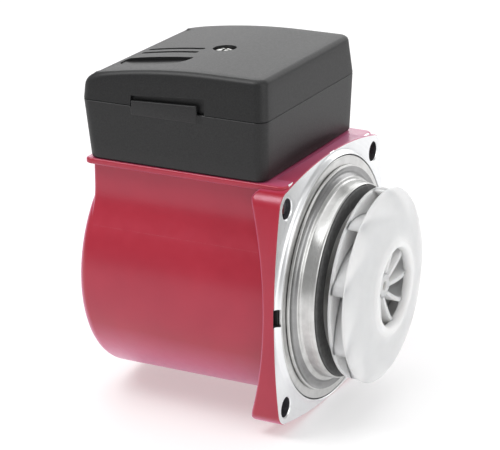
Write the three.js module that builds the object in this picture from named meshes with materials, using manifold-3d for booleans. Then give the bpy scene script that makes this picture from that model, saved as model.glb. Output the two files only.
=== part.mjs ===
// Circulator pump head: wet-rotor motor, terminal box and impeller, ready to bolt into a pump housing.
// Millimetres. +X runs along the shaft, out through the impeller. +Z is up, through the terminal box.
// The origin is on the shaft axis, in the plane of the machined flange face.
import * as THREE from 'three';
import { mergeVertices } from 'three/addons/utils/BufferGeometryUtils.js';
import Module from 'manifold-3d';

const wasm = await Module();
wasm.setup();

// ---- driving dimensions ----
const GAP = 0.3; // clearance left between pieces that touch
const ROUND = 48; // segments round a large visible circle
const PLAIN_ROUND = 32; // segments round a pressed or moulded part
const SMALL_ROUND = 24; // segments round a small or hidden circle
const SCREW_ROUND = 16; // segments round a screw
const SHANK_ROUND = 8; // segments round a screw's shank
const CURVE_STEPS = 6; // straight pieces in one arc of an extruded outline
const BEYOND = 62; // reach of a cutter that has to clear the flange

const BOLT_PITCH = 90; // side of the square of flange bolts
const BOLT_HOLE_R = 4.5;
const BOLT_HOLE_DEPTH = 18;
const FLANGE_HALF_WIDTH = 57.6; // at the middle of a side
const FLANGE_CORNER_R = 7.65; // about each bolt hole
const FLANGE_THIN = 5.6; // thickness at the middle of a side
const FLANGE_BACK_ARC_R = 153; // arc that thickens the flange towards its corners
const LIP_TOP_X = 2.1; // raised register lip round the recess
const LIP_FOOT_R = 57.2;
const RECESS_R = 54.6;
const RECESS_DEPTH = 3;
const NOTCH_HEIGHT = 7.8; // drain notch through the lip, sloping into the recess

const BARREL_R = 53.4;
const BARREL_BORE_R = 49.4;
const BARREL_REAR_X = -98;
const BARREL_REAR_WALL = 5;
const BARREL_EDGE_R = 5;
const VENT_HOLE_R = 8;
const VENT_SEAT_R = 11.6;
const VENT_SEAT_DEPTH = 2.4;
const VENT_HEAD_R = 11;
const VENT_HEAD_X = -100.6;

const PAD_BOTTOM_Z = 51.75;
const PAD_TOP_Z = 54.4;
const PAD_HALF_Y = 46;
const PAD_CORNER_R = 3;
const PAD_REAR_X = -97;
const PAD_FRONT_X = -0.7;
const NECK_HALF_Y = 42.3;
const NECK_FOOT_Z = 41; // where the upright neck wall starts to sweep out
const NECK_BLEND_Y = 47.4; // where the sweep meets the barrel
const NECK_REAR_X = -95;

const CORE_FRONT_X = -26;
const CORE_REAR_X = -70;
const WINDING_FRONT_X = -12;
const WINDING_REAR_X = -84;
const CAN_OUTER_R = 26.2;
const CAN_SHEET = 0.6;
const CAN_FLANGE_R = 54.2;
const CAN_END_X = -79.5;
const CAN_CUP_X = -91.5;
const ROTOR_R = 24.3;
const SHAFT_R = 4;
const SHAFT_BORE_R = 1.6;
const SHAFT_REAR_X = -90.8;
const SHAFT_FRONT_X = 24.2;
const BEARING_R = 9.6;
const PLATE_R = 50.3;
const PLATE_NECK_R = 43.5;
const GASKET_R = 42.3;
const GASKET_BORE_R = 35;

const IMPELLER_ROUND = 40;
const IMPELLER_R = 42.4;
const IMPELLER_REAR_X = 17.6;
const VANE_FLOOR_X = 19.2;
const VANE_COUNT = 9;
const VANE_THICKNESS = 1.9;
const VANE_TIP_ANGLE = 128; // degrees, where the first vane reaches the rim
const EYE_R = 17.5;
const EYE_LIP_X = 31.5;
const HUB_R = 5.3;
const HUB_X = 26;

const BOX_BOTTOM = { z: 54.7, rearX: -95.4, frontX: -10.4, halfY: 45.5 };
const BOX_SEAM = { z: 80.85, rearX: -97.9, frontX: -9.9, halfY: 47 };
const LID_BOTTOM = { z: 81.15, rearX: -97.9, frontX: -9.9, halfY: 47 };
const LID_TOP = { z: 99, rearX: -97.1, frontX: -11.5, halfY: 44.6 };
const BOX_CORNER_R = 5;
const BOX_WALL = 2.5;
const BOX_FLOOR = 3.3;
const LID_ROOF_Z = 98.1;
const LID_ROOF_ARC_R = 300; // the roof falls away to the rear along this arc
const LID_ROOF_ARC_START_X = -34.5;
const LID_SCREW_X = -52;
const LID_SEAT_Z = 93.6; // floor of the lid screw's pocket
const CATCH = { rearX: -72.7, frontX: -41.3, topZ: 84, outY: 47.2, inY: 45.75, tilt: 2.6 };
const CATCH_RECESS = { rearX: -73.1, frontX: -37.8, topZ: 86.5, floorY: 45.4, tilt: 4.4 };
const POCKET_DEPTH = 1.2; // of the grip pockets in the roof
const LEAD_HOLE = { rearX: -88, frontX: -71, halfY: 15 };
const BASE_SCREW_XS = [-86, -22];
const BASE_SCREW_Y = 34;
const EARTH_SCREW = { x: -38, y: 34 };
const SCREW_HOLE_R = 2.2;
const SCREW_HOLE_FLOOR_Z = 42.5;
const GLAND_X = -78;
const GLAND_Z = 68.5;
const TERMINAL_YS = [-12, 0, 12];
const CAPACITOR = { y: -30.5, z: 73, radius: 11.5, rearX: -92, frontX: -48 };
const LEAD_R = 1.1;

// ---- materials ----
const material = (color, roughness, metalness) =>
  new THREE.MeshStandardMaterial({ color, roughness, metalness });
const RED_PAINT = [0x9c2436, 0.42, 0.1];
const STEEL = [0xc9cacb, 0.3, 0.9];
const ALUMINIUM = [0xb9bbbd, 0.4, 0.9];
const BRASS = [0xb9963f, 0.35, 0.9];
const COPPER = [0xa8562c, 0.4, 0.8];
const LAMINATION = [0x6d7074, 0.5, 0.8];
const BLACK_PLASTIC = [0x2b2b2c, 0.65, 0];
const WHITE_PLASTIC = [0xe8e8e6, 0.4, 0];
const CREAM_PLASTIC = [0xd9d5c8, 0.5, 0];
const CAPACITOR_SHELL = [0xd6d6d8, 0.4, 0];
const RUBBER = [0x1b1b1c, 0.8, 0];
const GREY_RUBBER = [0x5c5c5c, 0.8, 0];
const CARBON = [0x3a3a3c, 0.5, 0.1];
const CERAMIC = [0xe9e2cf, 0.3, 0];
const BLUE_LEAD = [0x2f5f9e, 0.5, 0];
const BROWN_LEAD = [0x6a4630, 0.5, 0];
const BLACK_LEAD = [0x222222, 0.5, 0];

// ---- helpers ----
// Weld a three.js geometry into a closed solid that faces outwards.
function solid(geometry) {
  const bare = geometry.clone();
  bare.deleteAttribute('normal');
  bare.deleteAttribute('uv');
  const welded = mergeVertices(bare, 1e-4);
  const vertices = welded.attributes.position.array;
  const index = welded.index.array;
  const corner = (i) => new THREE.Vector3(...vertices.slice(3 * i, 3 * i + 3));
  const triangles = [];
  let volume = 0;
  for (let i = 0; i < index.length; i += 3) {
    const [a, b, c] = index.slice(i, i + 3);
    if (a === b || b === c || c === a) continue;
    triangles.push([a, b, c]);
    volume += corner(a).dot(corner(b).cross(corner(c)));
  }
  const outward = volume > 0 ? triangles : triangles.map(([a, b, c]) => [a, c, b]);
  return new wasm.Manifold(
    new wasm.Mesh({
      numProp: 3,
      vertProperties: new Float32Array(vertices),
      triVerts: new Uint32Array(outward.flat()),
    }),
  );
}

// Turn a solid back into a three.js geometry.
function geometryOf(body) {
  const mesh = body.getMesh();
  const geometry = new THREE.BufferGeometry();
  geometry.setAttribute('position', new THREE.BufferAttribute(mesh.vertProperties, 3));
  geometry.setIndex(new THREE.BufferAttribute(mesh.triVerts, 1));
  const faceted = geometry.toNonIndexed();
  faceted.computeVertexNormals();
  return faceted;
}

// Revolve a closed profile of [along, radius] points about the X axis.
function turned(profile, segments = ROUND) {
  const points = [...profile, profile[0]].map(([along, radius]) => new THREE.Vector2(radius, along));
  return solid(new THREE.LatheGeometry(points, segments).rotateZ(-Math.PI / 2));
}

// A plain ring or disc about the X axis.
function ring(innerR, outerR, x0, x1, segments = ROUND) {
  return turned([[x0, innerR], [x0, outerR], [x1, outerR], [x1, innerR]], segments);
}

function disc(radius, x0, x1, segments = ROUND) {
  return turned([[x0, 0], [x0, radius], [x1, radius], [x1, 0]], segments);
}

const AXIS_X = new THREE.Vector3(1, 0, 0);
const AXIS_Y = new THREE.Vector3(0, 1, 0);
const AXIS_Z = new THREE.Vector3(0, 0, 1);
const extruded = (shape, depth) =>
  new THREE.ExtrudeGeometry(shape, { depth, bevelEnabled: false, curveSegments: CURVE_STEPS });

// Extrude a (y, z) outline along X.
function extrudeX(shape, x0, x1) {
  const turn = new THREE.Matrix4().makeBasis(AXIS_Y, AXIS_Z, AXIS_X);
  return solid(extruded(shape, x1 - x0).applyMatrix4(turn).translate(x0, 0, 0));
}

// Extrude an (x, z) outline along Y.
function extrudeY(shape, y0, y1) {
  const turn = new THREE.Matrix4().makeBasis(AXIS_X, AXIS_Z, AXIS_Y.clone().negate());
  return solid(extruded(shape, y1 - y0).applyMatrix4(turn).translate(0, y1, 0));
}

// Extrude an (x, y) outline along Z.
function extrudeZ(shape, z0, z1) {
  return solid(extruded(shape, z1 - z0).translate(0, 0, z0));
}

function block(x0, x1, y0, y1, z0, z1) {
  const box = new THREE.BoxGeometry(x1 - x0, y1 - y0, z1 - z0);
  return solid(box.translate((x0 + x1) / 2, (y0 + y1) / 2, (z0 + z1) / 2));
}

// A cylinder standing along Z.
function post(radius, x, y, z0, z1, segments = SMALL_ROUND) {
  const cylinder = new THREE.CylinderGeometry(radius, radius, z1 - z0, segments);
  return solid(cylinder.rotateX(Math.PI / 2).translate(x, y, (z0 + z1) / 2));
}

// A cylinder lying along Y.
function alongY(radius, x, z, y0, y1, segments = SMALL_ROUND) {
  return solid(new THREE.CylinderGeometry(radius, radius, y1 - y0, segments).translate(x, (y0 + y1) / 2, z));
}

function polygonShape(points) {
  return new THREE.Shape(points.map(([u, v]) => new THREE.Vector2(u, v)));
}

function roundedRectangle(halfU, halfV, radius) {
  const shape = new THREE.Shape();
  shape.absarc(halfU - radius, halfV - radius, radius, 0, Math.PI / 2);
  shape.absarc(radius - halfU, halfV - radius, radius, Math.PI / 2, Math.PI);
  shape.absarc(radius - halfU, radius - halfV, radius, Math.PI, 1.5 * Math.PI);
  shape.absarc(halfU - radius, radius - halfV, radius, 1.5 * Math.PI, 2 * Math.PI);
  return shape;
}

// A block with rounded upright corners whose sides lean from one level's outline to another's.
function leaningBlock(low, high, inset, z0, z1) {
  const halfX = (low.frontX - low.rearX) / 2 - inset;
  const halfY = low.halfY - inset;
  const shape = roundedRectangle(halfX, halfY, BOX_CORNER_R - Math.min(inset, BOX_CORNER_R - 1));
  const settings = { depth: z1 - z0, bevelEnabled: false, curveSegments: 4 };
  const geometry = new THREE.ExtrudeGeometry(shape, settings);
  geometry.translate(0, 0, z0);
  const position = geometry.attributes.position;
  for (let i = 0; i < position.count; i += 1) {
    const rise = (position.getZ(i) - low.z) / (high.z - low.z);
    const rearX = THREE.MathUtils.lerp(low.rearX, high.rearX, rise) + inset;
    const frontX = THREE.MathUtils.lerp(low.frontX, high.frontX, rise) - inset;
    const sideY = THREE.MathUtils.lerp(low.halfY, high.halfY, rise) - inset;
    position.setX(i, (rearX + frontX) / 2 + (position.getX(i) / halfX) * (frontX - rearX) / 2);
    position.setY(i, (position.getY(i) / halfY) * sideY);
  }
  return solid(geometry);
}

const unite = (bodies) => bodies.reduce((sum, body) => sum.add(body));
const without = (body, cutters) => cutters.reduce((rest, cutter) => rest.subtract(cutter), body);

const pump = new THREE.Group();
pump.name = 'circulator_pump_head';

function addPart(name, body, look, parent = pump) {
  const mesh = new THREE.Mesh(geometryOf(body), material(...look));
  mesh.name = name;
  parent.add(mesh);
  return mesh;
}

// ---- stator housing ----
function flangeOutline() {
  const half = BOLT_PITCH / 2;
  const overhang = FLANGE_HALF_WIDTH - half;
  // radius of the bulged side that runs smoothly into both corner arcs
  const sideR = (overhang ** 2 + half ** 2 - FLANGE_CORNER_R ** 2) / (2 * (overhang - FLANGE_CORNER_R));
  const sweep = Math.atan2(half, sideR - overhang);
  const shape = new THREE.Shape();
  for (let side = 0; side < 4; side += 1) {
    const turn = (side * Math.PI) / 2;
    const centre = FLANGE_HALF_WIDTH - sideR;
    shape.absarc(centre * Math.cos(turn), centre * Math.sin(turn), sideR, turn - sweep, turn + sweep);
    const diagonal = turn + Math.PI / 4;
    const reach = half * Math.SQRT2;
    shape.absarc(
      reach * Math.cos(diagonal),
      reach * Math.sin(diagonal),
      FLANGE_CORNER_R,
      turn + sweep,
      turn + Math.PI / 2 - sweep,
    );
  }
  return shape;
}

function flange() {
  const outline = extrudeX(flangeOutline(), -20, 0);
  const thinnedUp = extrudeZ(thicknessOutline(), -BEYOND, BEYOND);
  const thinnedAcross = extrudeY(thicknessOutline(), -BEYOND, BEYOND);
  return outline.intersect(thinnedUp).intersect(thinnedAcross).add(registerLip());
}

// The machined lip round the recess, which rises from the flange face in a soft fillet.
function registerLip() {
  return turned([
    [-RECESS_DEPTH, RECESS_R - 1],
    [LIP_TOP_X - 0.3, RECESS_R - 1],
    [LIP_TOP_X, RECESS_R],
    [LIP_TOP_X, RECESS_R + 0.4],
    [LIP_TOP_X - 0.5, RECESS_R + 0.8],
    [0.5, RECESS_R + 1.5],
    [0.1, LIP_FOOT_R - 0.4],
    [-0.1, LIP_FOOT_R],
    [-1, LIP_FOOT_R],
  ]);
}

// Outline in x and one cross direction of a plate that thickens away from its middle.
function thicknessOutline() {
  const shape = new THREE.Shape();
  const steps = 8;
  shape.moveTo(1, BEYOND);
  shape.lineTo(1, -BEYOND);
  for (let i = 0; i <= steps; i += 1) {
    const across = THREE.MathUtils.lerp(-BEYOND, BEYOND, i / steps);
    const sag = FLANGE_BACK_ARC_R - Math.sqrt(FLANGE_BACK_ARC_R ** 2 - across ** 2);
    shape.lineTo(-FLANGE_THIN - sag, across);
  }
  return shape;
}

function barrel() {
  const edge = [];
  for (let i = 0; i <= 4; i += 1) {
    const angle = (i * Math.PI) / 8;
    edge.push([
      BARREL_REAR_X + BARREL_EDGE_R * (1 - Math.sin(angle)),
      BARREL_R - BARREL_EDGE_R * (1 - Math.cos(angle)),
    ]);
  }
  const innerX = BARREL_REAR_X + BARREL_REAR_WALL;
  return turned([
    [-1, BARREL_BORE_R],
    [-1, BARREL_R],
    ...edge,
    [BARREL_REAR_X, VENT_SEAT_R],
    [BARREL_REAR_X + VENT_SEAT_DEPTH, VENT_SEAT_R],
    [BARREL_REAR_X + VENT_SEAT_DEPTH, VENT_HOLE_R],
    [innerX, VENT_HOLE_R],
    [innerX, BARREL_BORE_R],
  ]);
}

// Cross-section of the neck: upright walls under the pad that sweep out into the barrel.
function neckShape() {
  const blendZ = Math.sqrt(BARREL_R ** 2 - NECK_BLEND_Y ** 2) - 0.2;
  const pullY = NECK_HALF_Y + 0.2;
  const pullZ = (NECK_FOOT_Z + blendZ) / 2 - 1;
  const shape = new THREE.Shape();
  shape.moveTo(-NECK_HALF_Y, PAD_BOTTOM_Z + 1);
  shape.lineTo(-NECK_HALF_Y, NECK_FOOT_Z);
  shape.quadraticCurveTo(-pullY, pullZ, -NECK_BLEND_Y, blendZ);
  shape.lineTo(NECK_BLEND_Y, blendZ);
  shape.quadraticCurveTo(pullY, pullZ, NECK_HALF_Y, NECK_FOOT_Z);
  shape.lineTo(NECK_HALF_Y, PAD_BOTTOM_Z + 1);
  return shape;
}

function pad() {
  const shape = roundedRectangle((PAD_FRONT_X - PAD_REAR_X) / 2, PAD_HALF_Y, PAD_CORNER_R);
  return extrudeZ(shape, PAD_BOTTOM_Z, PAD_TOP_Z).translate([(PAD_FRONT_X + PAD_REAR_X) / 2, 0, 0]);
}

function boltHoles() {
  const half = BOLT_PITCH / 2;
  const holes = [];
  for (const y of [-half, half]) {
    for (const z of [-half, half]) {
      holes.push(disc(BOLT_HOLE_R, -BOLT_HOLE_DEPTH, 5, SMALL_ROUND).translate([0, y, z]));
    }
  }
  return holes;
}

// One drain notch on each side, shallow at the flange's edge and as deep as the recess inside.
function drainNotches() {
  const slope = (side) => polygonShape([
    [-0.2, side * BEYOND],
    [-0.2, side * FLANGE_HALF_WIDTH],
    [-RECESS_DEPTH, side * (RECESS_R - 1)],
    [5, side * (RECESS_R - 1)],
    [5, side * BEYOND],
  ]);
  return [-1, 1].map((side) => extrudeZ(slope(side), -NOTCH_HEIGHT / 2, NOTCH_HEIGHT / 2));
}

// Screw holes for the terminal box, from z0 up.
function boxScrewHoles(z0) {
  const holes = [post(SCREW_HOLE_R, EARTH_SCREW.x, EARTH_SCREW.y, z0, 60, SCREW_ROUND)];
  for (const x of BASE_SCREW_XS) {
    for (const y of [-BASE_SCREW_Y, BASE_SCREW_Y]) {
      holes.push(post(SCREW_HOLE_R, x, y, z0, 60, SCREW_ROUND));
    }
  }
  return holes;
}

// The opening that takes the winding's leads up into the terminal box.
function leadHole(z0) {
  return block(LEAD_HOLE.rearX, LEAD_HOLE.frontX, -LEAD_HOLE.halfY, LEAD_HOLE.halfY, z0, 60);
}

function statorHousing() {
  const neck = extrudeX(neckShape(), NECK_REAR_X, -3);
  const shell = unite([barrel(), flange(), neck, pad()]);
  return without(shell, [
    disc(BARREL_BORE_R, BARREL_REAR_X + BARREL_REAR_WALL, 5),
    disc(RECESS_R, -RECESS_DEPTH, 5),
    ...boltHoles(),
    ...drainNotches(),
    ...boxScrewHoles(SCREW_HOLE_FLOOR_Z),
    leadHole(40),
  ]);
}

// ---- stator and wet end ----
function endWinding(x0, x1) {
  const middle = (x0 + x1) / 2;
  const halfLength = Math.abs(x1 - x0) / 2;
  const middleR = 37;
  const halfR = 8;
  const profile = [];
  for (let i = 0; i < 8; i += 1) {
    const angle = ((i + 0.5) * Math.PI) / 4;
    const round = (value) => Math.sign(value) * Math.sqrt(Math.abs(value));
    profile.push([middle + halfLength * round(Math.cos(angle)), middleR + halfR * round(Math.sin(angle))]);
  }
  return turned(profile, SMALL_ROUND);
}

function rotorCan() {
  const innerR = CAN_OUTER_R - CAN_SHEET;
  const cupR = BEARING_R + GAP;
  const frontX = LIP_TOP_X;
  return turned([
    [frontX - 1.5, CAN_OUTER_R],
    [frontX - 1.5, CAN_FLANGE_R],
    [frontX - 0.3, CAN_FLANGE_R],
    [frontX, CAN_FLANGE_R - 0.3],
    [frontX, innerR],
    [CAN_END_X + CAN_SHEET, innerR],
    [CAN_END_X + CAN_SHEET, cupR],
    [CAN_CUP_X + CAN_SHEET, cupR],
    [CAN_CUP_X + CAN_SHEET, 5.8],
    [CAN_CUP_X, 5.8],
    [CAN_CUP_X, cupR + CAN_SHEET],
    [CAN_END_X, cupR + CAN_SHEET],
    [CAN_END_X, CAN_OUTER_R],
  ], PLAIN_ROUND);
}

function bearingPlate() {
  const rearX = LIP_TOP_X + GAP;
  const hubR = 13;
  const hubFrontX = 12.6;
  const boreR = BEARING_R + GAP;
  const frontX = 12;
  return turned([
    [rearX, 41],
    [rearX, PLATE_R],
    [rearX + 1.2, PLATE_R],
    [rearX + 1.4, PLATE_R - 0.3],
    [rearX + 1.3, PLATE_R - 0.9],
    [rearX + 0.7, PLATE_R - 2.2],
    [rearX + 1.2, PLATE_R - 3.8],
    [rearX + 2.8, PLATE_R - 5],
    [rearX + 3.1, PLATE_R - 5.8],
    [frontX - 2.5, PLATE_NECK_R],
    [frontX - 1, PLATE_NECK_R - 0.2],
    [frontX - 0.1, PLATE_NECK_R - 0.6],
    [frontX, GASKET_R + GAP],
    [frontX - 2.4, GASKET_R + GAP],
    [frontX - 2.4, GASKET_BORE_R - GAP],
    [7, GASKET_BORE_R - 0.7],
    [7, hubR],
    [hubFrontX, hubR],
    [hubFrontX, boreR],
    [-4, boreR],
    [-4, hubR],
    [4.5, hubR],
    [4.5, 41],
  ]);
}

// ---- rotor ----
function rotorCladding() {
  const sheet = 0.4;
  const outerR = ROTOR_R + GAP + sheet;
  const rearX = -76.4;
  const frontX = -19.8;
  const innerR = SHAFT_R + 2 * GAP;
  return turned([
    [rearX, innerR],
    [rearX, outerR],
    [frontX, outerR],
    [frontX, innerR],
    [frontX - sheet, innerR],
    [frontX - sheet, outerR - sheet],
    [rearX + sheet, outerR - sheet],
    [rearX + sheet, innerR],
  ], SMALL_ROUND);
}

// ---- impeller ----
// Inner face of the front shroud, from rim to eye, as [x, radius].
const SHROUD_INNER = [
  [24.6, 43.3],
  [25.4, 39.5],
  [26.2, 34],
  [26.7, 27],
  [26.9, 21],
  [27.1, EYE_R + 0.6],
];

// The shroud is a shallow dome that rises to a rounded lip round the eye.
function frontShroud() {
  return turned([
    ...SHROUD_INNER,
    [27.7, EYE_R],
    [EYE_LIP_X - 1.3, EYE_R],
    [EYE_LIP_X - 0.3, EYE_R + 0.7],
    [EYE_LIP_X, EYE_R + 1.7],
    [EYE_LIP_X - 0.4, EYE_R + 2.8],
    [EYE_LIP_X - 1.6, EYE_R + 4.5],
    [28.9, 26],
    [28.4, 32],
    [27.7, 37],
    [26.8, 40.6],
    [25.7, 42.7],
  ], IMPELLER_ROUND);
}

// How far a vane turns round the shaft as it moves out, in radians for each unit of ln(radius).
// It is nearly radial in the eye and lies back at 27 degrees from the rim further out.
function vaneSweep(radius) {
  const sweep = THREE.MathUtils.mapLinear(radius, 14.5, 26, 0.2, 1.96);
  return THREE.MathUtils.clamp(sweep, 0.2, 1.96);
}

// Outline of one vane in the (y, z) plane, from the rim in to the hub.
function vaneOutline(tipAngle) {
  const rootR = HUB_R - 0.5;
  const tipR = IMPELLER_R + 1;
  const steps = 9;
  const substeps = 8;
  const line = [];
  let angle = tipAngle;
  let radius = tipR;
  const stride = (tipR - rootR) / steps / substeps;
  for (let i = 0; i <= steps; i += 1) {
    line.push(new THREE.Vector2(radius * Math.cos(angle), radius * Math.sin(angle)));
    for (let k = 0; k < substeps; k += 1) {
      angle -= (vaneSweep(radius) * stride) / radius;
      radius -= stride;
    }
  }
  const sideA = [];
  const sideB = [];
  line.forEach((point, i) => {
    const before = line[Math.max(i - 1, 0)];
    const after = line[Math.min(i + 1, steps)];
    const along = after.clone().sub(before).normalize();
    const across = new THREE.Vector2(-along.y, along.x).multiplyScalar(VANE_THICKNESS / 2);
    sideA.push(point.clone().add(across));
    sideB.unshift(point.clone().sub(across));
  });
  return new THREE.Shape([...sideA, ...sideB]);
}

// The space between the shrouds and in the eye, which trims the vanes.
function vaneChannel() {
  return turned([
    [VANE_FLOOR_X - 0.8, 0],
    [VANE_FLOOR_X - 0.8, IMPELLER_R],
    [SHROUD_INNER[0][0] - GAP, IMPELLER_R],
    ...SHROUD_INNER.slice(1).map(([x, radius]) => [x - GAP, radius]),
    [SHROUD_INNER[5][0] - GAP, EYE_R - GAP],
    [27.8, EYE_R - GAP],
    [HUB_X - 0.6, HUB_R],
    [HUB_X - 0.6, 0],
  ], IMPELLER_ROUND);
}

function rearShroud() {
  const plate = turned([
    [IMPELLER_REAR_X, SHAFT_R + GAP],
    [IMPELLER_REAR_X, IMPELLER_R - 0.5],
    [IMPELLER_REAR_X + 0.5, IMPELLER_R],
    [VANE_FLOOR_X, IMPELLER_R],
    [VANE_FLOOR_X + 0.2, 16],
    [VANE_FLOOR_X + 1.6, 9.5],
    [VANE_FLOOR_X + 4.2, 6.4],
    [HUB_X - 0.6, HUB_R],
    [HUB_X, HUB_R - 0.6],
    [HUB_X, 2.1],
    [SHAFT_FRONT_X + GAP, 2.1],
    [SHAFT_FRONT_X + GAP, SHAFT_R + GAP],
  ], IMPELLER_ROUND);
  const vanes = [];
  for (let i = 0; i < VANE_COUNT; i += 1) {
    const tip = THREE.MathUtils.degToRad(VANE_TIP_ANGLE + (360 * i) / VANE_COUNT);
    vanes.push(extrudeX(vaneOutline(tip), VANE_FLOOR_X - 0.8, EYE_LIP_X));
  }
  const shaftSpace = disc(SHAFT_R + GAP, IMPELLER_REAR_X - 1, SHAFT_FRONT_X + GAP, SMALL_ROUND);
  const hubBore = disc(2.1, SHAFT_FRONT_X, HUB_X + 1, SCREW_ROUND);
  return without(plate.add(unite(vanes).intersect(vaneChannel())), [shaftSpace, hubBore]);
}

// ---- terminal box ----
// Side view of everything under the lid's roof, lowered by the given amount.
function underRoofShape(lower) {
  const roofZ = LID_ROOF_Z - lower;
  const frontX = LID_TOP.frontX - lower;
  const rearX = LID_BOTTOM.rearX + lower;
  const frontR = 3;
  const rearR = 6;
  const roofAt = (x) => {
    const back = Math.min(x - LID_ROOF_ARC_START_X, 0);
    return roofZ - LID_ROOF_ARC_R + Math.sqrt(LID_ROOF_ARC_R ** 2 - back ** 2);
  };
  const shape = new THREE.Shape();
  shape.moveTo(rearX - 3, LID_BOTTOM.z - 5);
  shape.lineTo(frontX + 6, LID_BOTTOM.z - 5);
  shape.lineTo(frontX + 6, roofZ - frontR - 6);
  shape.lineTo(frontX + 0.5, roofZ - frontR);
  shape.quadraticCurveTo(frontX, roofZ, frontX - frontR, roofZ);
  shape.lineTo(LID_ROOF_ARC_START_X, roofZ);
  const arcEnd = rearX + rearR;
  for (let i = 1; i <= 8; i += 1) {
    const x = THREE.MathUtils.lerp(LID_ROOF_ARC_START_X, arcEnd, i / 8);
    shape.lineTo(x, roofAt(x));
  }
  shape.quadraticCurveTo(rearX + 0.6, roofAt(rearX), rearX, roofAt(rearX) - rearR);
  shape.lineTo(rearX - 3, roofAt(rearX) - rearR - 4);
  return shape;
}

// A grip pocket cut to an even depth below the roof.
function roofPocket(shape) {
  return extrudeZ(shape, 85, 105).subtract(extrudeY(underRoofShape(POCKET_DEPTH), -BEYOND, BEYOND));
}

function roundedBar(x0, x1, y, width) {
  const r = width / 2;
  const shape = new THREE.Shape();
  shape.absarc(x1 - r, y, r, -Math.PI / 2, Math.PI / 2);
  shape.absarc(x0 + r, y, r, Math.PI / 2, 1.5 * Math.PI);
  return shape;
}

function halfMoon(x, y, radius) {
  const shape = new THREE.Shape();
  shape.absarc(x, y, radius, Math.PI, 2 * Math.PI);
  return shape;
}

// A block whose top rises towards the front at a tilt in degrees, through z1 at its middle.
function tiltedBlock(x0, x1, y0, y1, z0, z1, tilt) {
  const middleX = (x0 + x1) / 2;
  const flat = block(x0 - middleX, x1 - middleX, y0, y1, z0 - z1, 0);
  return flat.rotate([0, -tilt, 0]).translate([middleX, 0, z1]);
}

// The recess in the lid's wall that makes room for the catch.
function catchRecess() {
  const { rearX, frontX, topZ, floorY, tilt } = CATCH_RECESS;
  const below = tiltedBlock(rearX - 5, frontX + 5, -BEYOND, -floorY, topZ - 20, topZ, tilt);
  return below.intersect(block(rearX, frontX, -BEYOND, -floorY, LID_BOTTOM.z - 5, topZ + 5));
}

// The catch: a tongue that carries the base's wall up in front of the lid.
function boxCatch() {
  const rootZ = BOX_SEAM.z - 1;
  const tongue = polygonShape([
    [-BOX_SEAM.halfY + 0.1, rootZ],
    [-CATCH.outY, CATCH.topZ + 2],
    [-CATCH.inY, CATCH.topZ + 2],
    [-CATCH.inY, rootZ],
  ]);
  const { rearX, frontX, topZ, tilt } = CATCH;
  const below = tiltedBlock(rearX - 5, frontX + 5, -BEYOND, 0, topZ - 20, topZ, tilt);
  return extrudeX(tongue, rearX, frontX).intersect(below);
}

function terminalBoxLid() {
  const outer = leaningBlock(LID_BOTTOM, LID_TOP, 0, LID_BOTTOM.z, LID_TOP.z)
    .intersect(extrudeY(underRoofShape(0), -BEYOND, BEYOND));
  const inner = leaningBlock(LID_BOTTOM, LID_TOP, BOX_WALL, LID_BOTTOM.z - 1, LID_TOP.z)
    .intersect(extrudeY(underRoofShape(BOX_WALL), -BEYOND, BEYOND));
  const boss = post(7.5, LID_SCREW_X, 0, 91, 97);
  return without(outer.subtract(inner).add(boss), [
    post(5.3, LID_SCREW_X, 0, LID_SEAT_Z, 105),
    post(2.3, LID_SCREW_X, 0, 85, 105),
    roofPocket(halfMoon(-74, -19, 17)),
    roofPocket(roundedBar(-88, -60, -9.5, 2.6)),
    roofPocket(roundedBar(-88, -60, -3, 2.6)),
    catchRecess(),
  ]);
}

function terminalBoxBase() {
  const outer = leaningBlock(BOX_BOTTOM, BOX_SEAM, 0, BOX_BOTTOM.z, BOX_SEAM.z);
  const inner = leaningBlock(BOX_BOTTOM, BOX_SEAM, BOX_WALL, BOX_BOTTOM.z + BOX_FLOOR, BOX_SEAM.z + 1);
  const pillar = post(5, LID_SCREW_X, 0, 57, 90.7);
  const sealSeat = block(-91, -68, -18, 18, 50, 56);
  return without(outer.subtract(inner).add(pillar).add(boxCatch()), [
    leadHole(50),
    sealSeat,
    post(2, LID_SCREW_X, 0, 70, 95, SCREW_ROUND),
    ...boxScrewHoles(50),
    alongY(8.3, GLAND_X, GLAND_Z, 40, 50),
  ]);
}

function terminalBoxGasket() {
  const rim = (width) => {
    const shape = roundedRectangle(11.2 - width, 17.7 - width, 1);
    return extrudeZ(shape, 54.7 - width, 55.7 + width).translate([-79.5, 0, 0]);
  };
  return rim(0).subtract(rim(2.3));
}

function lidGasket() {
  const outer = leaningBlock(BOX_BOTTOM, BOX_SEAM, BOX_WALL + GAP, 79.4, 82.4);
  const inner = leaningBlock(BOX_BOTTOM, BOX_SEAM, BOX_WALL + GAP + 2, 79, 83);
  return outer.subtract(inner);
}

// A pan-head screw standing along Z, with a straight slot.
function slottedScrew(headR, headZ, headHeight, shankR, tipZ) {
  const head = post(headR, 0, 0, headZ, headZ + headHeight, SCREW_ROUND);
  const shank = post(shankR, 0, 0, tipZ, headZ + 0.1, SHANK_ROUND);
  const slot = block(-headR - 1, headR + 1, -0.4, 0.4, headZ + headHeight - 0.9, headZ + headHeight + 1);
  return head.add(shank).subtract(slot);
}

// A pan-head screw with a cross recess.
function crossScrew(headR, headZ, headHeight, shankR, tipZ) {
  const top = headZ + headHeight;
  const wide = headR * 0.62;
  const head = post(headR, 0, 0, headZ, top, SCREW_ROUND);
  const shank = post(shankR, 0, 0, tipZ, headZ + 0.1, SHANK_ROUND);
  return without(head.add(shank), [
    block(-wide, wide, -0.5, 0.5, top - 1.2, top + 1),
    block(-0.5, 0.5, -wide, wide, top - 1.2, top + 1),
  ]);
}

function flatWasher(outerR, innerR, z0, z1) {
  return post(outerR, 0, 0, z0, z1).subtract(post(innerR, 0, 0, z0 - 1, z1 + 1, SCREW_ROUND));
}

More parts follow.
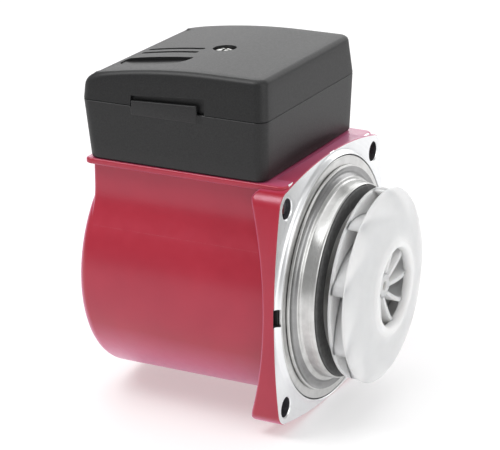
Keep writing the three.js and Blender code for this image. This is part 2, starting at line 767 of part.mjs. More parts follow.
function terminalBlock() {
  const body = block(-31, -17, -18.5, 18.5, 58.3, 69);
  const holes = TERMINAL_YS.flatMap((y) => [
    post(2.9, -24, y, 61, 70, SCREW_ROUND),
    block(-32, -22, y - 2, y + 2, 61.5, 65.5),
  ]);
  return without(body, holes);
}

function capacitorCan() {
  const { radius, rearX, frontX } = CAPACITOR;
  const edge = 0.8;
  return turned([
    [rearX, 0],
    [rearX, radius - edge],
    [rearX + edge, radius],
    [frontX - edge, radius],
    [frontX, radius - edge],
    [frontX, 0],
  ], SMALL_ROUND);
}

// A clip band round the capacitor, with a foot down to the box's floor.
function capacitorClip() {
  const innerR = CAPACITOR.radius + GAP;
  const foot = block(-73, -67, -5, 5, -14.7, -CAPACITOR.radius);
  const band = ring(innerR, innerR + 1, -73, -67, SMALL_ROUND);
  return band.add(foot).subtract(disc(innerR, -80, -60, SMALL_ROUND));
}

// An insulated wire through the given points.
function lead(points) {
  const curve = new THREE.CatmullRomCurve3(points.map(([x, y, z]) => new THREE.Vector3(x, y, z)));
  const circle = new THREE.Shape();
  circle.absarc(0, 0, LEAD_R, 0, 2 * Math.PI);
  return solid(new THREE.ExtrudeGeometry(circle, { steps: 12, curveSegments: 3, extrudePath: curve }));
}

function ventPlug() {
  const body = turned([
    [VENT_HEAD_X, 0],
    [VENT_HEAD_X, VENT_HEAD_R - 0.8],
    [VENT_HEAD_X + 0.8, VENT_HEAD_R],
    [VENT_HEAD_X + 3.2, VENT_HEAD_R],
    [VENT_HEAD_X + 3.2, VENT_HOLE_R - GAP],
    [VENT_HEAD_X + 7.1, VENT_HOLE_R - GAP],
    [VENT_HEAD_X + 7.6, 5.4],
    [VENT_HEAD_X + 8.7, 5.4],
    [VENT_HEAD_X + 8.7, 0],
  ], SMALL_ROUND);
  const reach = VENT_HEAD_R + 1;
  return body.subtract(block(VENT_HEAD_X - 1, VENT_HEAD_X + 1.2, -reach, reach, -0.8, 0.8));
}

function glandRod(radius, y0, y1) {
  return alongY(radius, GLAND_X, GLAND_Z, y0, y1);
}

function glandHexagon(radius, y0, y1) {
  const corner = (i) => [
    GLAND_X + radius * Math.cos((i * Math.PI) / 3),
    GLAND_Z + radius * Math.sin((i * Math.PI) / 3),
  ];
  return extrudeY(polygonShape([0, 1, 2, 3, 4, 5].map(corner)), y0, y1);
}

function cableGlandBody() {
  return unite([glandRod(8, 39, 47.5), glandHexagon(11.5, 47.2, 49.6), glandRod(7.4, 49.4, 54.5)])
    .subtract(glandRod(5.4, 30, 60));
}

function cableGlandNut() {
  const nut = glandHexagon(10.8, 49.9, 56).add(glandRod(8.2, 55.9, 57.5));
  return without(nut, [glandRod(7.7, 45, 54.8), glandRod(5.4, 45, 65)]);
}

function shaft() {
  return turned([
    [SHAFT_REAR_X, SHAFT_BORE_R],
    [SHAFT_REAR_X, SHAFT_R - 0.5],
    [SHAFT_REAR_X + 0.5, SHAFT_R],
    [SHAFT_FRONT_X - 0.5, SHAFT_R],
    [SHAFT_FRONT_X, SHAFT_R - 0.5],
    [SHAFT_FRONT_X, SHAFT_BORE_R],
  ], SCREW_ROUND);
}

// ---- assembly: motor ----
const statorRing = ring(CAN_OUTER_R + GAP, BARREL_BORE_R - GAP, CORE_REAR_X, CORE_FRONT_X);
addPart('stator_housing', statorHousing(), RED_PAINT);
addPart('stator_core', statorRing, LAMINATION);
addPart('stator_winding_front', endWinding(CORE_FRONT_X + GAP, WINDING_FRONT_X), COPPER);
addPart('stator_winding_rear', endWinding(WINDING_REAR_X, CORE_REAR_X - GAP), COPPER);
addPart('housing_seal', ring(50, RECESS_R - GAP, GAP - RECESS_DEPTH, GAP), RUBBER);
addPart('rotor_can', rotorCan(), STEEL);
addPart('bearing_plate', bearingPlate(), STEEL);
addPart('bearing_plate_gasket', ring(GASKET_BORE_R, GASKET_R, 9.9, 12.6, PLAIN_ROUND), GREY_RUBBER);
addPart('front_bearing', ring(SHAFT_R + GAP, BEARING_R, -3, 11, SMALL_ROUND), CARBON);
addPart('rear_bearing', ring(SHAFT_R + GAP, BEARING_R, -90.5, -80.5, SMALL_ROUND), CARBON);

// ---- assembly: rotor and impeller ----
addPart('shaft', shaft(), CERAMIC);
addPart('rotor_core', ring(SHAFT_R + GAP, ROTOR_R, CORE_REAR_X, CORE_FRONT_X, SMALL_ROUND), LAMINATION);
addPart('rotor_end_ring_front', ring(11, 22, CORE_FRONT_X + GAP, -21, SMALL_ROUND), ALUMINIUM);
addPart('rotor_end_ring_rear', ring(11, 22, -75, CORE_REAR_X - GAP, SMALL_ROUND), ALUMINIUM);
addPart('rotor_cladding', rotorCladding(), STEEL);
addPart('thrust_washer', ring(SHAFT_R + GAP, 9.2, -8.5, -4.5, SMALL_ROUND), CARBON);
addPart('thrust_washer_holder', ring(SHAFT_R + GAP, 9.2, -12, -8.8, SMALL_ROUND), RUBBER);
addPart('impeller_rear_shroud', rearShroud(), WHITE_PLASTIC);
addPart('impeller_front_shroud', frontShroud(), WHITE_PLASTIC);

// ---- assembly: vent plug ----
addPart('vent_plug', ventPlug(), STEEL);
addPart('vent_plug_seal', ring(VENT_HOLE_R + GAP, VENT_HEAD_R + 0.2, -97.1, -95.9, SMALL_ROUND), RUBBER);

// ---- assembly: terminal box ----
addPart('terminal_box_base', terminalBoxBase(), BLACK_PLASTIC);
addPart('terminal_box_gasket', terminalBoxGasket(), RUBBER);
addPart('terminal_box_lid', terminalBoxLid(), BLACK_PLASTIC);
addPart('lid_gasket', lidGasket(), RUBBER);
const sealTop = 94.7;
const lidScrew = crossScrew(4.4, sealTop + GAP, 2, 1.7, 73);
const lidScrewSeal = flatWasher(4.9, 2.1, LID_SEAT_Z + GAP, sealTop);
addPart('lid_screw', lidScrew, STEEL).position.set(LID_SCREW_X, 0, 0);
addPart('lid_screw_seal', lidScrewSeal, RUBBER).position.set(LID_SCREW_X, 0, 0);

let screwNumber = 0;
for (const x of BASE_SCREW_XS) {
  for (const y of [-BASE_SCREW_Y, BASE_SCREW_Y]) {
    screwNumber += 1;
    addPart(`base_screw_${screwNumber}`, crossScrew(3.6, 58.3, 2.2, 1.8, 45), STEEL).position.set(x, y, 0);
  }
}
const earthScrew = slottedScrew(3.6, 59.1, 2.2, 1.8, 45);
const earthWasher = flatWasher(4.6, 2.1, 58.3, 58.8);
addPart('earth_screw', earthScrew, BRASS).position.set(EARTH_SCREW.x, EARTH_SCREW.y, 0);
addPart('earth_washer', earthWasher, BRASS).position.set(EARTH_SCREW.x, EARTH_SCREW.y, 0);

addPart('terminal_block', terminalBlock(), CREAM_PLASTIC);
TERMINAL_YS.forEach((y, i) => {
  const screw = slottedScrew(2.5, 66.6, 1.8, 1.4, 61.4);
  addPart(`terminal_screw_${i + 1}`, screw, BRASS).position.set(-24, y, 0);
});

addPart('capacitor', capacitorCan(), CAPACITOR_SHELL).position.set(0, CAPACITOR.y, CAPACITOR.z);
addPart('capacitor_clip', capacitorClip(), STEEL).position.set(0, CAPACITOR.y, CAPACITOR.z);

// each lead comes up from the winding and runs to its own terminal
const leadStart = (y) => [[-79, y, 46.2], [-79.2, y, 52], [-78, y, 58]];
const leadRoute1 = [...leadStart(-13), [-68, -13, 62], [-46, -12.5, 63.5], [-32.5, -12, 63.5]];
const leadRoute2 = [...leadStart(-10), [-67, -10, 62], [-44, -8, 63.5], [-32.5, 0, 63.5]];
const leadRoute3 = [
  ...leadStart(-7),
  [-66, -7.4, 62],
  [-47, -6.4, 67.5],
  [-38, 6, 67],
  [-32.5, 12, 63.5],
];
addPart('motor_lead_1', lead(leadRoute1), BLUE_LEAD);
addPart('motor_lead_2', lead(leadRoute2), BROWN_LEAD);
addPart('motor_lead_3', lead(leadRoute3), BLACK_LEAD);

// ---- assembly: cable gland, blanked off ----
addPart('cable_gland_body', cableGlandBody(), BLACK_PLASTIC);
addPart('cable_gland_insert', glandRod(5.1, 44, 56), RUBBER);
addPart('cable_gland_nut', cableGlandNut(), BLACK_PLASTIC);
addPart('cable_gland_locknut', glandHexagon(11, 39.6, 42.9).subtract(glandRod(8.3, 30, 50)), BLACK_PLASTIC);

export default pump;
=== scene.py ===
import math

import bmesh
import bpy
from mathutils import Matrix, Vector


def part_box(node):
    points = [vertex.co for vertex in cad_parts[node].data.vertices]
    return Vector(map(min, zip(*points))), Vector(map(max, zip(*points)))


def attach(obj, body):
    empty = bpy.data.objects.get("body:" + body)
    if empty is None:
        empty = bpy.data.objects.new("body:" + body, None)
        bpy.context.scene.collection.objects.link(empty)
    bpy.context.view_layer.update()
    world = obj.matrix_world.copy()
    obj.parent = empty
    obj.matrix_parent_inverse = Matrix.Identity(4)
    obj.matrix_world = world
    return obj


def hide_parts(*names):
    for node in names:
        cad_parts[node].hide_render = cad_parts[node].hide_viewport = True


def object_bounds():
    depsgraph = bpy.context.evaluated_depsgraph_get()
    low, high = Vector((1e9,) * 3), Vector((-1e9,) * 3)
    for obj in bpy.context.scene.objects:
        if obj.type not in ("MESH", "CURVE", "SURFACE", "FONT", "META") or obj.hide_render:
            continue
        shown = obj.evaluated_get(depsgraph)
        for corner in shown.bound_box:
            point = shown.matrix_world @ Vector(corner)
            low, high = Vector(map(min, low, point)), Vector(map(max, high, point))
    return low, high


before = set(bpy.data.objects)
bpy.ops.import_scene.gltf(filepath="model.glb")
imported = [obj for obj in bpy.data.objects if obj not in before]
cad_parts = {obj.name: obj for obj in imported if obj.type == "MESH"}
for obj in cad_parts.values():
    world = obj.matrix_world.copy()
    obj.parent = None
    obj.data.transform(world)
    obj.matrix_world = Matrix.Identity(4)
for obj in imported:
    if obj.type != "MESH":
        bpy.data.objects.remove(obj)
cad_low, cad_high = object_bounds()

MM = 0.001
ROUND_STEPS = 160  # segments round a large turned piece
SMALL_STEPS = 64   # segments round a small one
SCREW_STEPS = 48   # segments round a screw
HOLE_STEPS = 32    # segments round a screw hole
BAND_STEPS = 72    # segments round the capacitor and its band


# ---------------- dimensions, in millimetres

def box_mm(node_name):
    """The low and high corners of a CAD node's box."""
    low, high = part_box(node_name)
    return [value / MM for value in low], [value / MM for value in high]


HOUSING_LOW, HOUSING_HIGH = box_mm("stator_housing")
BASE_LOW, BASE_HIGH = box_mm("terminal_box_base")
LID_LOW, LID_HIGH = box_mm("terminal_box_lid")
CAN_LOW, CAN_HIGH = box_mm("rotor_can")
PLATE_LOW, PLATE_HIGH = box_mm("bearing_plate")
REAR_LOW, REAR_HIGH = box_mm("impeller_rear_shroud")
PLUG_LOW, PLUG_HIGH = box_mm("vent_plug")
GLAND_LOW, GLAND_HIGH = box_mm("cable_gland_nut")
SCREW_LOW, SCREW_HIGH = box_mm("lid_screw")
SHAFT_LOW, SHAFT_HIGH = box_mm("shaft")

FLANGE_HALF = HOUSING_HIGH[1]
BOLT_HALF_PITCH = 45.0
BOLT_HOLE_R = 4.5
CORNER_R = 7.65      # of the flange, about each bolt hole
FLANGE_THIN = 5.6    # thickness at the middle of a side
BACK_ARC_R = 153.0   # arc that thickens the flange towards its corners
LIP_TOP = HOUSING_HIGH[0]
LIP_FOOT_R = 57.2
RECESS_R = 54.6
RECESS_DEPTH = 3.0
NOTCH_HALF_Z = 3.9
BARREL_R = 53.4
BARREL_REAR = HOUSING_LOW[0]
BARREL_EDGE_R = 5.0
BORE_R = 49.4
PAD_LOW_Z = 51.75
PAD_HIGH_Z = 54.4
PAD_HALF_Y = 46.0
PAD_REAR_X = -97.0
PAD_FRONT_X = -0.7
NECK_HALF_Y = 42.3
NECK_FOOT_Z = 41.0
NECK_BLEND_Y = 47.4
NECK_REAR_X = -95.0
PLATE_R = PLATE_HIGH[1]
VANES = 9
VANE_TIP_ANGLE = 128.0
HUB_TOP_R = 5.3
EYE_R = 17.5
EYE_LIP_X = box_mm("impeller_front_shroud")[1][0]
BOX_CORNER_R = 5.0
BOX_WALL = 2.5
SEAM_Z = 80.85
LID_SCREW_X = (SCREW_LOW[0] + SCREW_HIGH[0]) / 2
CORNER_STEPS = 8     # points round each corner of the box
SIDE_STEPS = 20      # points along each side of the box
BASE_SCREW_XS = (-86.0, -22.0)
BASE_SCREW_Y = 34.0
EARTH_SCREW = (-38.0, 34.0)
SCREW_HOLE_R = 2.2
LEAD_HOLE_X = (-88.0, -71.0)
LEAD_HOLE_HALF_Y = 15.0


# ---------------- mesh helpers

def new_object(name, data):
    made = bpy.data.objects.new(name, data)
    bpy.context.scene.collection.objects.link(made)
    return made


def make_object(name, verts, faces, smooth_angle=32.0):
    """A linked mesh object. Vertices are given in millimetres."""
    mesh = bpy.data.meshes.new(name)
    mesh.from_pydata([Vector(v) * MM for v in verts], [], faces)
    piece = new_object(name, mesh)
    tidy(piece)
    shade(piece, smooth_angle)
    return piece


def tidy(piece):
    """Merges coincident points, drops faces without area and turns every face outwards."""
    work = bmesh.new()
    work.from_mesh(piece.data)
    bmesh.ops.remove_doubles(work, verts=work.verts, dist=1e-7)
    bmesh.ops.dissolve_degenerate(work, edges=work.edges, dist=1e-8)
    bmesh.ops.recalc_face_normals(work, faces=work.faces)
    work.to_mesh(piece.data)
    work.free()


def shade(piece, angle=32.0):
    for polygon in piece.data.polygons:
        polygon.use_smooth = True
    piece.data.set_sharp_from_angle(angle=math.radians(angle))


def bake_modifiers(piece):
    """Replaces the piece's mesh by its evaluated one and removes its modifiers."""
    graph = bpy.context.evaluated_depsgraph_get()
    mesh = bpy.data.meshes.new_from_object(piece.evaluated_get(graph))
    piece.modifiers.clear()
    piece.data = mesh


def combine(piece, others, operation):
    """Boolean of a piece with others, which are used up."""
    for other in others:
        step = piece.modifiers.new("combine", "BOOLEAN")
        step.operation = operation
        step.solver = "EXACT"
        step.object = other
    bpy.context.view_layer.update()
    bake_modifiers(piece)
    for other in others:
        bpy.data.objects.remove(other, do_unlink=True)
    shade(piece)
    return piece


def cut(piece, cutters):
    return combine(piece, cutters, "DIFFERENCE")


def unite(piece, others):
    return combine(piece, others, "UNION")


def soften(piece, width, segments=2, angle=35.0):
    """Rounds the piece's sharp edges by a width in millimetres."""
    step = piece.modifiers.new("soften", "BEVEL")
    step.width = width * MM
    step.segments = segments
    step.limit_method = "ANGLE"
    step.angle_limit = math.radians(angle)
    step.harden_normals = False
    bpy.context.view_layer.update()
    bake_modifiers(piece)
    shade(piece, 40.0)
    return piece


def join(name, pieces):
    """Several pieces as one object."""
    work = bmesh.new()
    for piece in pieces:
        work.from_mesh(piece.data)
    first = pieces[0]
    mesh = bpy.data.meshes.new(name)
    work.to_mesh(mesh)
    work.free()
    for material in first.data.materials:
        mesh.materials.append(material)
    for piece in pieces[1:]:
        bpy.data.objects.remove(piece, do_unlink=True)
    first.data = mesh
    first.name = name
    shade(first)
    return first


def fillet(points, steps=5):
    """Rounds the corners of a closed outline of (u, v, radius) points."""
    result = []
    count = len(points)
    for i, (u, v, radius) in enumerate(points):
        here = Vector((u, v))
        if radius <= 0:
            result.append((u, v))
            continue
        before = Vector(points[i - 1][:2])
        after = Vector(points[(i + 1) % count][:2])
        back = before - here
        on = after - here
        reach = min(radius, back.length * 0.48, on.length * 0.48)
        start = here + back.normalized() * reach
        end = here + on.normalized() * reach
        for k in range(steps + 1):
            t = k / steps
            point = start * (1 - t) ** 2 + here * 2 * t * (1 - t) + end * t ** 2
            result.append((point.x, point.y))
    return result


AXES = {
    "X": lambda along, across, up: (along, across, up),
    "Y": lambda along, across, up: (up, along, across),
    "Z": lambda along, across, up: (across, up, along),
}


def turned(name, profile, centre=(0, 0, 0), axis="X", steps=ROUND_STEPS, smooth_angle=32.0):
    """Revolves a closed outline of (along, radius) points about an axis through centre."""
    place = AXES[axis]
    verts = []
    for i in range(steps):
        angle = 2 * math.pi * i / steps
        for along, radius in profile:
            point = place(along, radius * math.cos(angle), radius * math.sin(angle))
            verts.append([p + c for p, c in zip(point, centre)])
    count = len(profile)
    faces = []
    for i in range(steps):
        j = (i + 1) % steps
        for k in range(count):
            n = (k + 1) % count
            if profile[k][1] == 0 and profile[n][1] == 0:
                continue
            faces.append((i * count + k, j * count + k, j * count + n, i * count + n))
    return make_object(name, verts, faces, smooth_angle)


def rod(name, radius, low, high, centre=(0, 0, 0), axis="X", steps=HOLE_STEPS):
    """A plain cylinder between two places along an axis."""
    return turned(name, [(low, 0), (low, radius), (high, radius), (high, 0)], centre, axis, steps)


def loft(name, loops, closed_ends=True, smooth_angle=32.0):
    """Skins a list of equally long closed loops of 3-D points. Its ends are capped, or else meet."""
    count = len(loops[0])
    verts = [point for loop in loops for point in loop]
    faces = []
    for i in range(len(loops) - 1 if closed_ends else len(loops)):
        j = (i + 1) % len(loops)
        for k in range(count):
            n = (k + 1) % count
            faces.append((i * count + k, i * count + n, j * count + n, j * count + k))
    if closed_ends:
        faces.append(tuple(range(count)))
        faces.append(tuple(reversed(range(len(verts) - count, len(verts)))))
    return make_object(name, verts, faces, smooth_angle)


def prism(name, outline, low, high, axis="Z"):
    """Extrudes an outline along an axis. Its points are (y, z), (z, x) or (x, y)."""
    place = AXES[axis]
    return loft(name, [[place(along, u, v) for u, v in outline] for along in (low, high)])


def block(name, low, high, radius=0.0):
    """A box between two corners, with its upright edges rounded by a radius."""
    corners = [(low[0], low[1]), (high[0], low[1]), (high[0], high[1]), (low[0], high[1])]
    return prism(name, fillet([(x, y, radius) for x, y in corners], 4), low[2], high[2])


def lerp(a, b, t):
    return a + (b - a) * t


def quarter(steps):
    """(sine, 1 - cosine) pairs along a quarter turn, for rounding an edge."""
    return [(math.sin(t), 1 - math.cos(t)) for t in [math.pi / 2 * k / steps for k in range(steps + 1)]]


# ---------------- material helpers

def shader_of(material):
    return material.node_tree.nodes["Principled BSDF"]


def new_material(name, color, roughness, metallic=0.0, **sockets):
    """A Principled material. Extra inputs are set by name, with _ for a space."""
    material = bpy.data.materials.new(name)
    material.use_nodes = True
    material.diffuse_color = (*color, 1.0)
    inputs = shader_of(material).inputs
    inputs["Base Color"].default_value = (*color, 1.0)
    inputs["Roughness"].default_value = roughness
    inputs["Metallic"].default_value = metallic
    for socket, value in sockets.items():
        inputs[socket.replace("_", " ")].default_value = value
    return material


def feed(material, socket, value):
    """Wires another node's output into an input, or sets the input to a plain value."""
    if isinstance(value, bpy.types.NodeSocket):
        material.node_tree.links.new(value, socket)
    else:
        socket.default_value = value


def node(material, kind, *first_inputs, **named):
    """A new shader node. Named values are its inputs, with _ for a space, or else its settings."""
    made = material.node_tree.nodes.new(kind)
    for key, value in named.items():
        socket = key.replace("_", " ")
        if socket in made.inputs:
            feed(material, made.inputs[socket], value)
        else:
            setattr(made, key, value)
    for socket, value in zip(made.inputs, first_inputs):
        feed(material, socket, value)
    return made


def object_position(material):
    return node(material, "ShaderNodeTexCoord").outputs["Object"]


def noise_of(material, scale, detail=3.0, rough=0.5, position=None):
    """A noise texture's factor, in object space. Scale is in cycles per metre."""
    texture = node(
        material, "ShaderNodeTexNoise", Scale=scale, Detail=detail, Roughness=rough,
        Vector=position or object_position(material),
    )
    return texture.outputs["Fac"]


def rescale(material, source, low, high, to_low=0.0, to_high=1.0):
    """Maps low to high onto another range, and stops at its ends."""
    limits = {"From_Min": low, "From_Max": high, "To_Min": to_low, "To_Max": to_high}
    return node(material, "ShaderNodeMapRange", source, **limits).outputs["Result"]


def ramp(material, source, low, high, dark, light):
    """Blends from one colour at a low factor to another at a high one."""
    made = node(material, "ShaderNodeValToRGB", Fac=source)
    for element, place, color in zip(made.color_ramp.elements, (low, high), (dark, light)):
        element.position = place
        element.color = (*color, 1.0)
    return made.outputs["Color"]


def mix_colors(material, factor, plain, other):
    """Blends a colour output towards a fixed colour by a factor."""
    blend = node(material, "ShaderNodeMix", data_type="RGBA")
    for index, value in ((0, factor), (6, plain), (7, (*other, 1.0))):
        feed(material, blend.inputs[index], value)
    return blend.outputs[2]


def vary_roughness(material, source, low, high):
    feed(material, shader_of(material).inputs["Roughness"], rescale(material, source, 0.3, 0.7, low, high))


def shade_color(material, source, dark, light):
    feed(material, shader_of(material).inputs["Base Color"], ramp(material, source, 0.3, 0.7, dark, light))


def bump(material, heights):
    """Stacks (factor, strength, distance in metres) heights into the shader's normal."""
    below = {}
    for source, strength, distance in heights:
        values = {"Height": source, "Strength": strength, "Distance": distance, **below}
        made = node(material, "ShaderNodeBump", **values)
        below = {"Normal": made.outputs["Normal"]}
    feed(material, shader_of(material).inputs["Normal"], below["Normal"])


def rings_of(material, scale, detail):
    """Fine turning marks round the X axis: noise over the radius and the place along the axis."""
    position = object_position(material)
    across = node(material, "ShaderNodeVectorMath", position, (0.0, 1.0, 1.0), operation="MULTIPLY")
    radius = node(material, "ShaderNodeVectorMath", across.outputs["Vector"], operation="LENGTH")
    parts = node(material, "ShaderNodeSeparateXYZ", position)
    joined = node(material, "ShaderNodeCombineXYZ", radius.outputs["Value"], parts.outputs["X"])
    return noise_of(material, scale, detail, 0.6, joined.outputs["Vector"])


def edge_mask(material, width):
    """1 on sharp edges and 0 on flat ground, worked out from a bevelled normal."""
    rounded = node(material, "ShaderNodeBevel", Radius=width).outputs["Normal"]
    flat = node(material, "ShaderNodeNewGeometry").outputs["Normal"]
    likeness = node(material, "ShaderNodeVectorMath", rounded, flat, operation="DOT_PRODUCT")
    return rescale(material, likeness.outputs["Value"], 0.995, 0.86)


def wear_edges(material, worn, width=0.0004, amount=0.5):
    """Blends the base colour towards a worn one along the edges, broken up by noise."""
    broken = rescale(material, noise_of(material, 420, 4), 0.35, 0.65, 0.0, amount)
    patchy = node(material, "ShaderNodeMath", edge_mask(material, width), broken, operation="MULTIPLY")
    base = shader_of(material).inputs["Base Color"]
    fresh = base.links[0].from_socket
    feed(material, base, mix_colors(material, patchy.outputs[0], fresh, worn))


def shaded(color, share):
    """A colour made darker or lighter by a share."""
    return tuple(min(channel * share, 1.0) for channel in color)


# ---------------- materials

def red_paint():
    """Satin paint, with its base colour painted pink at grazing angles: a painted reflection of the pale
    floor.
    """
    made = new_material(
        "red_paint_satin", (0.4, 0.013, 0.028), 0.36,
        Coat_Weight=0.45, Coat_Roughness=0.24, Sheen_Weight=0.14, Sheen_Roughness=0.4,
        Sheen_Tint=(1.0, 0.55, 0.95, 1.0), Specular_Tint=(1.0, 0.7, 1.0, 1.0),
    )
    patches = ramp(made, noise_of(made, 60, 4), 0.3, 0.7, (0.385, 0.011, 0.025), (0.425, 0.015, 0.031))
    # Painted reflection: the base colour is blended towards pink at grazing angles, where the floor's light
    # would be reflected.
    facing = node(made, "ShaderNodeLayerWeight", Blend=0.5).outputs["Facing"]
    painted_sheen_share = ramp(made, facing, 0.42, 0.9, (0, 0, 0), (1, 1, 1))
    paint_with_painted_sheen = mix_colors(made, painted_sheen_share, patches, (0.62, 0.13, 0.28))
    feed(made, shader_of(made).inputs["Base Color"], paint_with_painted_sheen)
    vary_roughness(made, noise_of(made, 240, 3), 0.33, 0.41)
    bump(made, [(noise_of(made, 1300, 2), 0.14, 0.00012), (noise_of(made, 90, 2), 0.03, 0.0004)])
    wear_edges(made, (0.5, 0.16, 0.17), 0.0005, 0.35)
    return made


def painted_shade_casting():
    """Bare walls of the bolt holes and the drain notches, coloured near black as painted shade of their
    depth.
    """
    # Painted shade: a near-black colour standing in for the shade deep in the holes and notches.
    made = new_material("painted_shade_casting", (0.06, 0.06, 0.068), 0.6, 0.3)
    shade_color(made, noise_of(made, 500, 4), (0.045, 0.045, 0.052), (0.08, 0.08, 0.09))
    vary_roughness(made, noise_of(made, 300, 3), 0.5, 0.7)
    bump(made, [(noise_of(made, 1200, 3), 0.3, 0.0001)])
    return made


def machined_aluminium():
    made = new_material("machined_aluminium", (0.86, 0.87, 0.88), 0.34, 1.0)
    turning = rings_of(made, 900, 4)
    shade_color(made, noise_of(made, 35, 4), (0.8, 0.81, 0.82), (0.92, 0.93, 0.94))
    vary_roughness(made, turning, 0.26, 0.44)
    bump(made, [(turning, 0.25, 0.00006)])
    wear_edges(made, (0.97, 0.97, 0.97), 0.0004, 0.6)
    return made


def turned_steel(name="turned_steel", color=(0.62, 0.62, 0.61)):
    made = new_material(name, color, 0.3, 1.0)
    turning = rings_of(made, 1500, 3)
    shade_color(made, noise_of(made, 160, 5, 0.65), shaded(color, 0.88), shaded(color, 1.12))
    vary_roughness(made, turning, 0.26, 0.36)
    bump(made, [(turning, 0.09, 0.00004), (noise_of(made, 420, 3), 0.06, 0.0001)])
    wear_edges(made, shaded(color, 1.35), 0.0003, 0.6)
    return made


def bright_steel(name="bright_steel", color=(0.62, 0.62, 0.6)):
    made = new_material(name, color, 0.25, 1.0)
    shade_color(made, noise_of(made, 200, 4), shaded(color, 0.82), shaded(color, 1.12))
    vary_roughness(made, noise_of(made, 700, 3), 0.2, 0.36)
    bump(made, [(noise_of(made, 1800, 2), 0.06, 0.00008)])
    wear_edges(made, shaded(color, 1.3), 0.0003, 0.5)
    return made


def black_plastic():
    made = new_material("black_grained_plastic", (0.013, 0.013, 0.0135), 0.46, Specular_IOR_Level=0.4)
    shade_color(made, noise_of(made, 1600, 2), (0.009, 0.009, 0.0095), (0.017, 0.017, 0.0175))
    vary_roughness(made, noise_of(made, 900, 3), 0.44, 0.49)
    bump(made, [(noise_of(made, 2600, 3), 0.3, 0.00011)])
    wear_edges(made, (0.06, 0.06, 0.062), 0.0005, 0.5)
    return made


def white_plastic():
    made = new_material(
        "white_impeller_plastic", (0.8, 0.8, 0.79), 0.4,
        Subsurface_Weight=1.0, Subsurface_Scale=0.009, Subsurface_Radius=(1.0, 0.97, 0.94),
    )
    shade_color(made, noise_of(made, 120, 4), (0.78, 0.78, 0.775), (0.82, 0.82, 0.815))
    vary_roughness(made, noise_of(made, 220, 3), 0.36, 0.46)
    bump(made, [(noise_of(made, 1400, 2), 0.04, 0.00008), (noise_of(made, 70, 2), 0.02, 0.0004)])
    wear_edges(made, (0.9, 0.9, 0.9), 0.0003, 0.5)
    return made


def rubber(name="black_rubber", color=(0.014, 0.014, 0.015), roughness=0.62):
    made = new_material(name, color, roughness)
    shade_color(made, noise_of(made, 400, 4), shaded(color, 0.8), shaded(color, 1.25))
    vary_roughness(made, noise_of(made, 500, 3), roughness - 0.08, roughness + 0.08)
    bump(made, [(noise_of(made, 2200, 3), 0.18, 0.0001)])
    wear_edges(made, shaded(color, 1.8), 0.0003, 0.4)
    return made


def plain_plastic(name, color, roughness=0.45):
    made = new_material(name, color, roughness)
    shade_color(made, noise_of(made, 150, 3), shaded(color, 0.92), shaded(color, 1.07))
    vary_roughness(made, noise_of(made, 400, 3), roughness - 0.05, roughness + 0.07)
    bump(made, [(noise_of(made, 1800, 2), 0.07, 0.00008)])
    wear_edges(made, shaded(color, 1.25), 0.0003, 0.4)
    return made


def sheet_stack():
    """Stacked electrical steel: thin plates across the shaft."""
    made = new_material("stacked_sheets", (0.2, 0.2, 0.21), 0.45, 0.85)
    wave = node(
        made, "ShaderNodeTexWave", bands_direction="X", Scale=320.0, Distortion=0.3, Detail=1.0,
        Vector=object_position(made),
    )
    plates = wave.outputs["Fac"]
    shade_color(made, plates, (0.11, 0.11, 0.12), (0.27, 0.27, 0.28))
    vary_roughness(made, noise_of(made, 300, 3), 0.4, 0.6)
    bump(made, [(plates, 0.4, 0.0001)])
    return made


def copper_wire():
    """Enamelled winding wire wound round the shaft."""
    made = new_material("enamelled_copper", (0.5, 0.17, 0.06), 0.3, 0.6)
    strands = rings_of(made, 700, 3)
    shade_color(made, strands, (0.3, 0.08, 0.025), (0.58, 0.22, 0.08))
    vary_roughness(made, strands, 0.25, 0.42)
    bump(made, [(strands, 0.6, 0.0003)])
    return made


def ceramic():
    made = new_material("ivory_ceramic", (0.78, 0.74, 0.62), 0.2)
    shade_color(made, noise_of(made, 90, 3), (0.74, 0.7, 0.58), (0.81, 0.77, 0.66))
    vary_roughness(made, noise_of(made, 500, 2), 0.16, 0.26)
    bump(made, [(noise_of(made, 1500, 2), 0.03, 0.00005)])
    return made


def carbon():
    made = new_material("graphite_carbon", (0.05, 0.05, 0.055), 0.4, 0.2)
    shade_color(made, noise_of(made, 900, 4), (0.035, 0.035, 0.04), (0.07, 0.07, 0.075))
    vary_roughness(made, noise_of(made, 300, 3), 0.32, 0.48)
    bump(made, [(noise_of(made, 2600, 2), 0.1, 0.00006)])
    return made


LOOKS = {
    "red_paint": red_paint(),
    "steel": bright_steel(),
    "black_plastic": black_plastic(),
    "white_plastic": white_plastic(),
    "rubber": rubber(),
    "grey_rubber": rubber("grey_rubber", (0.085, 0.085, 0.085), 0.6),
    "carbon": carbon(),
    "ceramic": ceramic(),
    "lamination": sheet_stack(),
    "rotor_aluminium": bright_steel("cast_aluminium", (0.62, 0.62, 0.61)),
    "copper_winding": copper_wire(),
    "brass": bright_steel("bright_brass", (0.62, 0.42, 0.14)),
    "cream_plastic": plain_plastic("cream_plastic", (0.6, 0.56, 0.46)),
    "capacitor_shell": plain_plastic("capacitor_shell", (0.5, 0.5, 0.52), 0.3),
    "blue_lead": plain_plastic("blue_lead_insulation", (0.03, 0.1, 0.32), 0.4),
    "brown_lead": plain_plastic("brown_lead_insulation", (0.12, 0.05, 0.022), 0.4),
    "black_lead": plain_plastic("black_lead_insulation", (0.015, 0.015, 0.015), 0.4),
}


def finish_piece(piece, slot, node_name, body="motor"):
    """Gives a piece its look, body and slot, and lets it stand for a CAD node."""
    if not piece.data.materials:
        piece.data.materials.append(LOOKS[slot])
    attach(piece, body)
    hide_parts(node_name)


def finish_by_place(piece, materials, choose):
    """Gives each face the material whose number choose returns for its centre in millimetres and normal."""
    piece.data.materials.clear()
    for material in materials:
        piece.data.materials.append(material)
    for polygon in piece.data.polygons:
        polygon.material_index = choose(*[value / MM for value in polygon.center], polygon.normal)


# ---------------- stator housing

